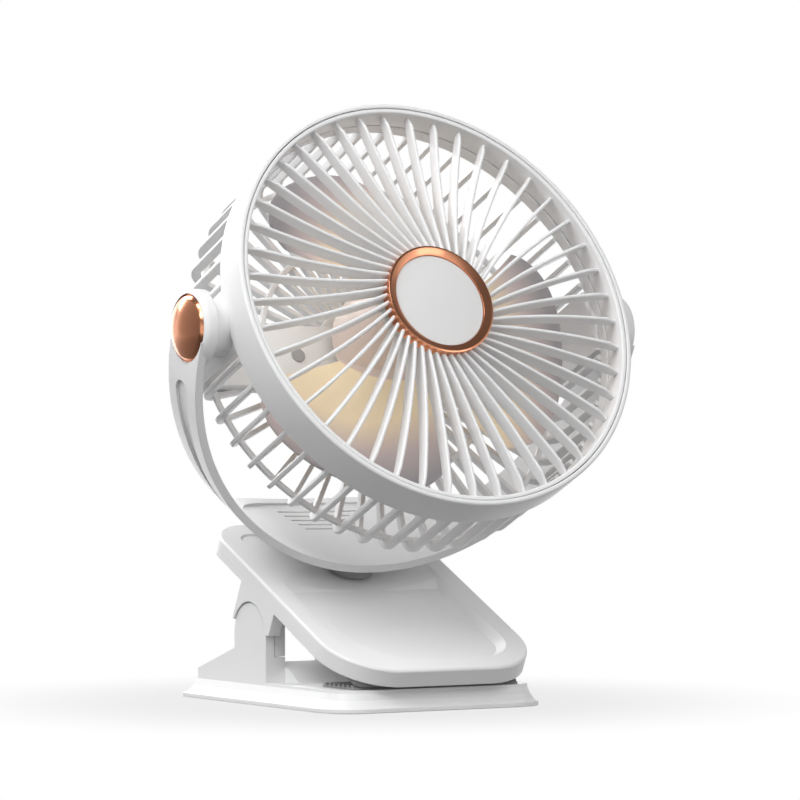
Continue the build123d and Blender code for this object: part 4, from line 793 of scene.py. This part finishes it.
class FAN_OT_front_guard(bpy.types.Operator):
    """Outer ring, grille rim and the swept spokes"""

    bl_idname = "clip_fan.front_guard"
    bl_label = "Front guard"

    def execute(self, context):
        white = finish_of("white_skin")
        ring = band(RING_OUTER, RING_OUTER - RING_BORE, RING_BACK, HEAD_FRONT, RING_CORNERS, steps=5)
        make_piece("front_ring_skin", "head", ["front_ring"], white, [lathe(ring, HEAD, turns=256)])
        rim = band(RIM_OUTER, RIM_OUTER - RIM_BORE, RIM_BACK, RIM_FRONT, RIM_CORNERS)
        edge = TRIM_RADIUS - FIT_GAP
        hub = rounded([(0, HUB_BACK), (edge, HUB_BACK), (edge, TRIM_BACK), (0, TRIM_BACK)], HUB_CORNERS)
        grids = [lathe(rim, HEAD, turns=256), lathe(hub, HEAD, turns=96)]
        grids += on_head(self.spokes())
        make_piece("grille_skin", "head", ["front_grille"], white, grids)
        return {"FINISHED"}

    def spokes(self):
        """Bowed strips: chord + bow * 4 t (1 - t) across it, with a half-round front that ends low."""
        bow = size_of("spoke_bow")
        inner = TRIM_RADIUS - SPOKE_SINK
        outer = (RIM_BORE + RIM_OUTER) / 2
        swing = math.radians(-SPOKE_SWEEP)
        start = np.array([TRIM_BORE * math.cos(swing), TRIM_BORE * math.sin(swing)])
        chord = np.array([outer, 0.0]) - start
        across = np.array([-chord[1], chord[0]]) / np.linalg.norm(chord)
        t = SPOKE_STEPS[:, None]
        plan = start + chord * t + across * bow * 4 * t * (1 - t)
        way = chord + across * bow * 4 * (1 - 2 * t)
        way /= np.linalg.norm(way, axis=1)[:, None]
        reach = np.linalg.norm(plan, axis=1)
        front = SPOKE_FRONT + np.interp(reach, [inner, RIM_BORE - SPOKE_CHAMFER, RIM_OUTER],
                                        [SPOKE_RISE, 0, -SPOKE_CHAMFER / 2])
        back = SPOKE_FRONT - SPOKE_DEPTH + np.interp(reach, [inner, RIM_OUTER], [-SPOKE_DIP, 0])
        half = size_of("spoke_thickness") / 2
        flat = half * SPOKE_BACK_SHARE
        turn = np.radians(np.linspace(0, 180, 9))
        nose = np.stack([half * np.cos(turn), half * np.sin(turn) - half], -1)
        tail = np.array([(-half, SPOKE_BACK_CHAMFER), (-flat, 0), (flat, 0), (half, SPOKE_BACK_CHAMFER)])
        a, lift = np.concatenate([nose, tail]).T
        at_front = np.arange(len(a)) < len(nose)
        z = np.where(at_front, front[:, None], back[:, None]) + lift
        side = np.stack([-way[:, 1], way[:, 0]], -1)
        points = np.concatenate([plan[:, None] + a[None, :, None] * side[:, None], z[..., None]], -1)
        angles = SPOKE_PHASE + 360 / SPOKE_COUNT * np.arange(SPOKE_COUNT)
        return turned_about_axis(shut(points, points.mean(1)), angles)


class FAN_OT_hub(bpy.types.Operator):
    """Rose-gold ring and grey disc of the hub"""

    bl_idname = "clip_fan.hub"
    bl_label = "Hub"

    def execute(self, context):
        trim = rounded([(TRIM_BORE, TRIM_BACK), (TRIM_RADIUS, TRIM_BACK),
                        (TRIM_RADIUS, TRIM_FRONT - TRIM_BEVEL), (TRIM_RADIUS - TRIM_CREST, TRIM_FRONT),
                        (TRIM_BORE, TRIM_FRONT - TRIM_SLOPE)], TRIM_CORNERS)
        make_piece("hub_ring", "head", ["hub_trim"], finish_of("rose_gold"), [lathe(trim, HEAD, turns=192)])
        edge = TRIM_BORE - FIT_GAP
        disc = rounded([(0, TRIM_BACK), (edge, TRIM_BACK), (edge, DISC_FRONT - DISC_CROWN), (0, DISC_FRONT)],
                       DISC_CORNERS)
        make_piece("hub_face", "head", ["hub_disc"], finish_of("hub_grey"), [lathe(disc, HEAD, turns=128)])
        return {"FINISHED"}


class FAN_OT_impeller(bpy.types.Operator):
    """Three swept blades on a hollow cone"""

    bl_idname = "clip_fan.impeller"
    bl_label = "Impeller"

    def execute(self, context):
        roof = CONE_FRONT - CONE_WALL
        cone = rounded([(0, roof), (CONE_FRONT_RADIUS - CONE_WALL, roof),
                        (CONE_BACK_RADIUS - CONE_WALL, CONE_BACK), (CONE_BACK_RADIUS, CONE_BACK),
                        (CONE_FRONT_RADIUS, CONE_FRONT), (0, CONE_FRONT)], CONE_CORNERS, steps=5)
        boss = band(BOSS_RADIUS, BOSS_RADIUS - BOSS_BORE, BOSS_FOOT, BOSS_TOP, BOSS_CORNER, steps=2)
        grids = [lathe(cone, HEAD, turns=128), lathe(boss, HEAD, turns=48)]
        grids += on_head(self.blades())
        make_piece("impeller_skin", "rotor", ["impeller"], finish_of("champagne"), grids)
        return {"FINISHED"}

    def sheet(self, out, along, camber):
        """Middle surface of a blade: radius and angle grow with out, height climbs and bows with along."""
        edge = (2 * along - 1) ** 4
        tip = BLADE_TIP * (1 - BLADE_ROUND_SHARE * edge)
        radius = BLADE_ROOT + (tip - BLADE_ROOT) * out
        span = BLADE_SPAN_ROOT + (BLADE_SPAN_TIP - BLADE_SPAN_ROOT) * out
        angle = np.radians(BLADE_PHASE + BLADE_SWEEP * out + span * (along - 0.5))
        rise = BLADE_RISE_ROOT + (BLADE_RISE_TIP - BLADE_RISE_ROOT) * out
        height = BLADE_MIDDLE + rise * (along - 0.5) + camber * (1 - (2 * along - 1) ** 2) * out
        return np.stack([radius * np.cos(angle), radius * np.sin(angle), height], -1)

    def blades(self):
        """Thickens the middle surface along its normal, thinning to nothing round its free edges."""
        camber = size_of("blade_camber")
        along = (0.5 - 0.5 * np.cos(np.linspace(0, np.pi, 44)))[None, :]
        foot = np.interp(BLADE_MIDDLE + BLADE_RISE_ROOT * (along - 0.5), [CONE_BACK, CONE_FRONT],
                         [CONE_BACK_RADIUS, CONE_FRONT_RADIUS]) - BLADE_SINK
        start = (foot - BLADE_ROOT) / (BLADE_TIP - BLADE_ROOT)
        out = start + (1 - start) * np.sin(np.linspace(0, np.pi / 2, 30))[:, None]
        step = 1e-4
        out_way = self.sheet(out + step, along, camber) - self.sheet(out - step, along, camber)
        along_way = self.sheet(out, along + step, camber) - self.sheet(out, along - step, camber)
        normal = np.cross(out_way, along_way)
        normal /= np.linalg.norm(normal, axis=-1, keepdims=True)
        rim = np.minimum(1, np.minimum(along, 1 - along) / BLADE_EDGE_SHARE)
        tip = np.minimum(1, (1 - out) / BLADE_EDGE_SHARE)
        thin = np.sqrt(np.clip(rim * (2 - rim), 0, 1) * np.clip(tip * (2 - tip), 0, 1))
        lift = normal * (size_of("blade_thickness") / 2 * thin)[..., None]
        middle = self.sheet(out, along, camber)
        shell = np.concatenate([middle + lift, (middle - lift)[:, ::-1]], 1)
        return turned_about_axis(shell, 360 / BLADE_COUNT * np.arange(BLADE_COUNT))


class FAN_OT_rear_guard(bpy.types.Operator):
    """Ribs, hoops, motor plate, wire arm and pivot walls behind the impeller"""

    bl_idname = "clip_fan.rear_guard"
    bl_label = "Rear guard"

    def execute(self, context):
        back = GUARD_BACK
        inside = RIB_OUTSIDE - RIB_DEPTH
        collar = band(RIB_OUTSIDE, COLLAR_WALL, RING_BACK - JOIN_LAP, RING_BACK + COLLAR_LAP, COLLAR_CORNER)
        hoop = band(HOOP_RADIUS, HOOP_WIDTH, back + HOOP_LOW, back + HOOP_HIGH, HOOP_CORNER)
        middle_hoop = band(MIDDLE_HOOP_RADIUS, HOOP_WIDTH, back + MIDDLE_HOOP_LOW, back + MIDDLE_HOOP_HIGH,
                           MIDDLE_HOOP_CORNER)
        plate = band(GUARD_HUB, GUARD_HUB, back, back + PLATE_HIGH, PLATE_CORNERS)
        grids = [lathe(outline, HEAD, turns=192) for outline in (collar, hoop, middle_hoop, plate)]
        wall = band(RIB_OUTSIDE - FIT_GAP, RIB_DEPTH, back + RIB_DEPTH, RING_BACK + JOIN_LAP, CHEEK_CORNER)
        grids += [lathe(wall, HEAD, turns=24, start=turn - CHEEK_ANGLE, stop=turn + CHEEK_ANGLE)
                  for turn in (0, 180)]
        grids += [self.neck(side, inside) for side in (-1, 1)]
        grids += on_head([self.wire_arm(inside), *self.ribs()])
        make_piece("guard_skin", "head", ["rear_guard"], finish_of("white_skin"), grids)
        return {"FINISHED"}

    def neck(self, side, inside):
        """A round neck and journal along the pivot axis."""
        end = CAP_FOOT - JOURNAL_SHORT
        outline = rounded([(0, inside), (NECK_RADIUS, inside), (NECK_RADIUS, NECK_END),
                           (JOURNAL_RADIUS, NECK_END), (JOURNAL_RADIUS, end), (0, end)], NECK_CORNERS)
        return lathe(outline, Place(PIVOT, (side, 0, 0), HEAD.axes[1]), turns=96)

    def wire_arm(self, inside):
        """A bar with rounded edges from the left pivot wall to the motor plate."""
        reach = -np.linspace(GUARD_HUB - ARM_SINK, inside + JOIN_LAP, ARM_STEPS)
        level = np.full(ARM_STEPS, (GUARD_BACK + ARM_FRONT) / 2)
        path = np.stack([reach, np.zeros(ARM_STEPS), level], -1)
        side = np.tile((0.0, 1.0, 0.0), (ARM_STEPS, 1))
        up = np.tile((0.0, 0.0, 1.0), (ARM_STEPS, 1))
        return strap(path, side, up, bar(ARM_HALF, (ARM_FRONT - GUARD_BACK) / 2, ARM_CORNER))

    def ribs(self):
        """Rounded bars along the drum, round a quarter bend and in to the motor plate, all round the axis."""
        bend = size_of("rib_bend")
        drum = RIB_OUTSIDE - RIB_DEPTH / 2
        level = GUARD_BACK + RIB_DEPTH / 2
        turn = np.radians(np.linspace(0, 90, RIB_BEND_STEPS))
        fall = np.linspace(RING_BACK + JOIN_LAP, level + bend, RIB_DRUM_STEPS + 1)[:-1]
        home = np.linspace(drum - bend, GUARD_HUB - RIB_SINK, RIB_BACK_STEPS + 1)[1:]
        line = np.concatenate([
            np.stack([np.full(RIB_DRUM_STEPS, drum), fall], -1),
            np.stack([drum - bend + bend * np.cos(turn), level + bend - bend * np.sin(turn)], -1),
            np.stack([home, np.full(RIB_BACK_STEPS, level)], -1),
        ])
        outward = np.concatenate([
            np.tile((1.0, 0.0), (RIB_DRUM_STEPS, 1)),
            np.stack([np.cos(turn), -np.sin(turn)], -1),
            np.tile((0.0, -1.0), (RIB_BACK_STEPS, 1)),
        ])
        path = np.insert(line, 1, 0, 1)
        up = np.insert(outward, 1, 0, 1)
        side = np.tile((0.0, 1.0, 0.0), (len(path), 1))
        rib = strap(path, side, up, bar(size_of("rib_thickness") / 2, RIB_DEPTH / 2, RIB_CORNER))
        angles = (np.arange(RIB_COUNT) + 0.5) * 360 / RIB_COUNT
        from_pivot = np.minimum(angles % 180, 180 - angles % 180)
        return turned_about_axis(rib, angles[from_pivot > CHEEK_ANGLE])


class FAN_OT_pivot_caps(bpy.types.Operator):
    """Domed rose-gold caps on the two pivots"""

    bl_idname = "clip_fan.pivot_caps"
    bl_label = "Pivot caps"

    def execute(self, context):
        profile = self.profile(size_of("cap_dome"))
        for side, word in ((-1, "left"), (1, "right")):
            dome = lathe(profile, Place(PIVOT, (side, 0, 0), JAW.axes[1]), turns=128)
            make_piece(f"pivot_dome_{word}", "yoke", [f"pivot_cap_{word}"], finish_of("rose_gold"), [dome])
        return {"FINISHED"}

    def profile(self, height):
        """A ball's top, face - R + sqrt(R^2 - r^2), a crease where its edge falls off, and a flat lip."""
        free = CAP_RADIUS - CAP_GAP
        ball = (free ** 2 + height ** 2) / (2 * height)
        radius = free * np.sin(np.linspace(0, np.pi / 2, 28)) * CAP_CREASE
        dome = CAP_FACE + height - ball + np.sqrt(ball ** 2 - radius ** 2)
        share = np.linspace(0, 1, 5)[1:]
        edge = np.stack([radius[-1] + (free - radius[-1]) * share,
                         dome[-1] - CAP_EDGE_DROP * share ** CAP_EDGE_POWER], -1)
        lip = CAP_FOOT + CAP_LIP
        foot = [(free, lip), (CAP_RADIUS, lip), (CAP_RADIUS, CAP_FOOT), (0, CAP_FOOT)]
        return np.concatenate([np.stack([radius, dome], -1), edge, foot])


class FAN_OT_spring(bpy.types.Operator):
    """Torsion spring that closes the jaws"""

    bl_idname = "clip_fan.spring"
    bl_label = "Clip spring"

    def execute(self, context):
        total = SPRING_TURNS + (180 - JAW_SLOPE - SPRING_LEG_FALL) / 360
        piece = make_piece("spring_wire", None, ["clip_spring"], finish_of("spring_steel"),
                           [(self.wire(total, size_of("wire_radius")), False, True)])
        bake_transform(piece)
        return {"FINISHED"}

    def wire(self, total, radius):
        """A round wire along a straight leg, a helix (x = p t, y = R cos a, z = R sin a) and a second leg."""
        turn = np.linspace(0, total, SPRING_COIL_STEPS)[:, None]
        angle = np.radians(JAW_SLOPE + 90 + 360 * turn)
        coil = HINGE + np.concatenate([(turn - total / 2) * SPRING_PITCH, SPRING_RADIUS * np.cos(angle),
                                       SPRING_RADIUS * np.sin(angle)], 1)
        first = coil[0] - coil[1]
        last = coil[-1] - coil[-2]
        first *= SPRING_TOP_LEG / np.linalg.norm(first)
        last *= (SPRING_FLOOR - coil[-1, 2]) / last[2]
        share = np.linspace(0, 1, SPRING_LEG_STEPS + 1)[1:, None]
        path = np.concatenate([coil[0] + first * share[::-1], coil, coil[-1] + last * share])
        way = np.gradient(path, axis=0)
        way /= np.linalg.norm(way, axis=1)[:, None]
        side = np.cross(way, (1, 0, 0))
        side /= np.linalg.norm(side, axis=1)[:, None]
        ring = np.radians(np.linspace(0, 360, SPRING_SIDES, endpoint=False))
        section = radius * np.stack([np.cos(ring), np.sin(ring)], -1)
        return strap(path, side, np.cross(side, way), section)


class FAN_OT_finishes(bpy.types.Operator):
    """Finishes of the solids that show as they are"""

    bl_idname = "clip_fan.finishes"
    bl_label = "Finishes"

    def execute(self, context):
        of_slot = {"white_plastic": "white_shell"}
        # The swivel ring's grey is painted shade
        # The wire cover's brighter white is painted light
        of_node = {"swivel_ring": "swivel_dark", "wire_cover": "white_lid"}
        for node, slot in SLOTS.items():
            solid = frame["nodes"][node]
            if not solid.hide_render:
                solid.data.materials.clear()
                solid.data.materials.append(finish_of(of_node.get(node, of_slot.get(slot, slot))))
        return {"FINISHED"}


class FAN_PT_panel(bpy.types.Panel):
    """Lists the fan's sizes, colours, lamps and operators"""

    bl_idname = "FAN_PT_panel"
    bl_label = "Clip-on fan"
    bl_space_type = "VIEW_3D"
    bl_region_type = "UI"
    bl_category = "Fan"

    def draw(self, context):
        for name, group in GROUPS.items():
            for key in group.__annotations__:
                self.layout.prop(getattr(context.scene, name), key)
        for operator in OPERATORS:
            self.layout.operator(operator.bl_idname)


GROUPS = {"fan_sizes": FanSizes, "fan_colours": FanColours, "fan_light": FanLight}
OPERATORS = (FAN_OT_stage, FAN_OT_front_guard, FAN_OT_hub, FAN_OT_impeller, FAN_OT_rear_guard,
             FAN_OT_pivot_caps, FAN_OT_spring, FAN_OT_finishes)
CLASSES = (*GROUPS.values(), *OPERATORS, FAN_PT_panel)


def register():
    for kind in CLASSES:
        bpy.utils.register_class(kind)
    for name, group in GROUPS.items():
        setattr(bpy.types.Scene, name, PointerProperty(type=group))


def unregister():
    for name in GROUPS:
        delattr(bpy.types.Scene, name)
    for kind in reversed(CLASSES):
        bpy.utils.unregister_class(kind)


def main():
    register()
    bpy.ops.clip_fan.stage()
    bpy.ops.clip_fan.front_guard()
    bpy.ops.clip_fan.hub()
    bpy.ops.clip_fan.impeller()
    bpy.ops.clip_fan.rear_guard()
    bpy.ops.clip_fan.pivot_caps()
    bpy.ops.clip_fan.spring()
    bpy.ops.clip_fan.finishes()


if __name__ == "__main__":
    main()
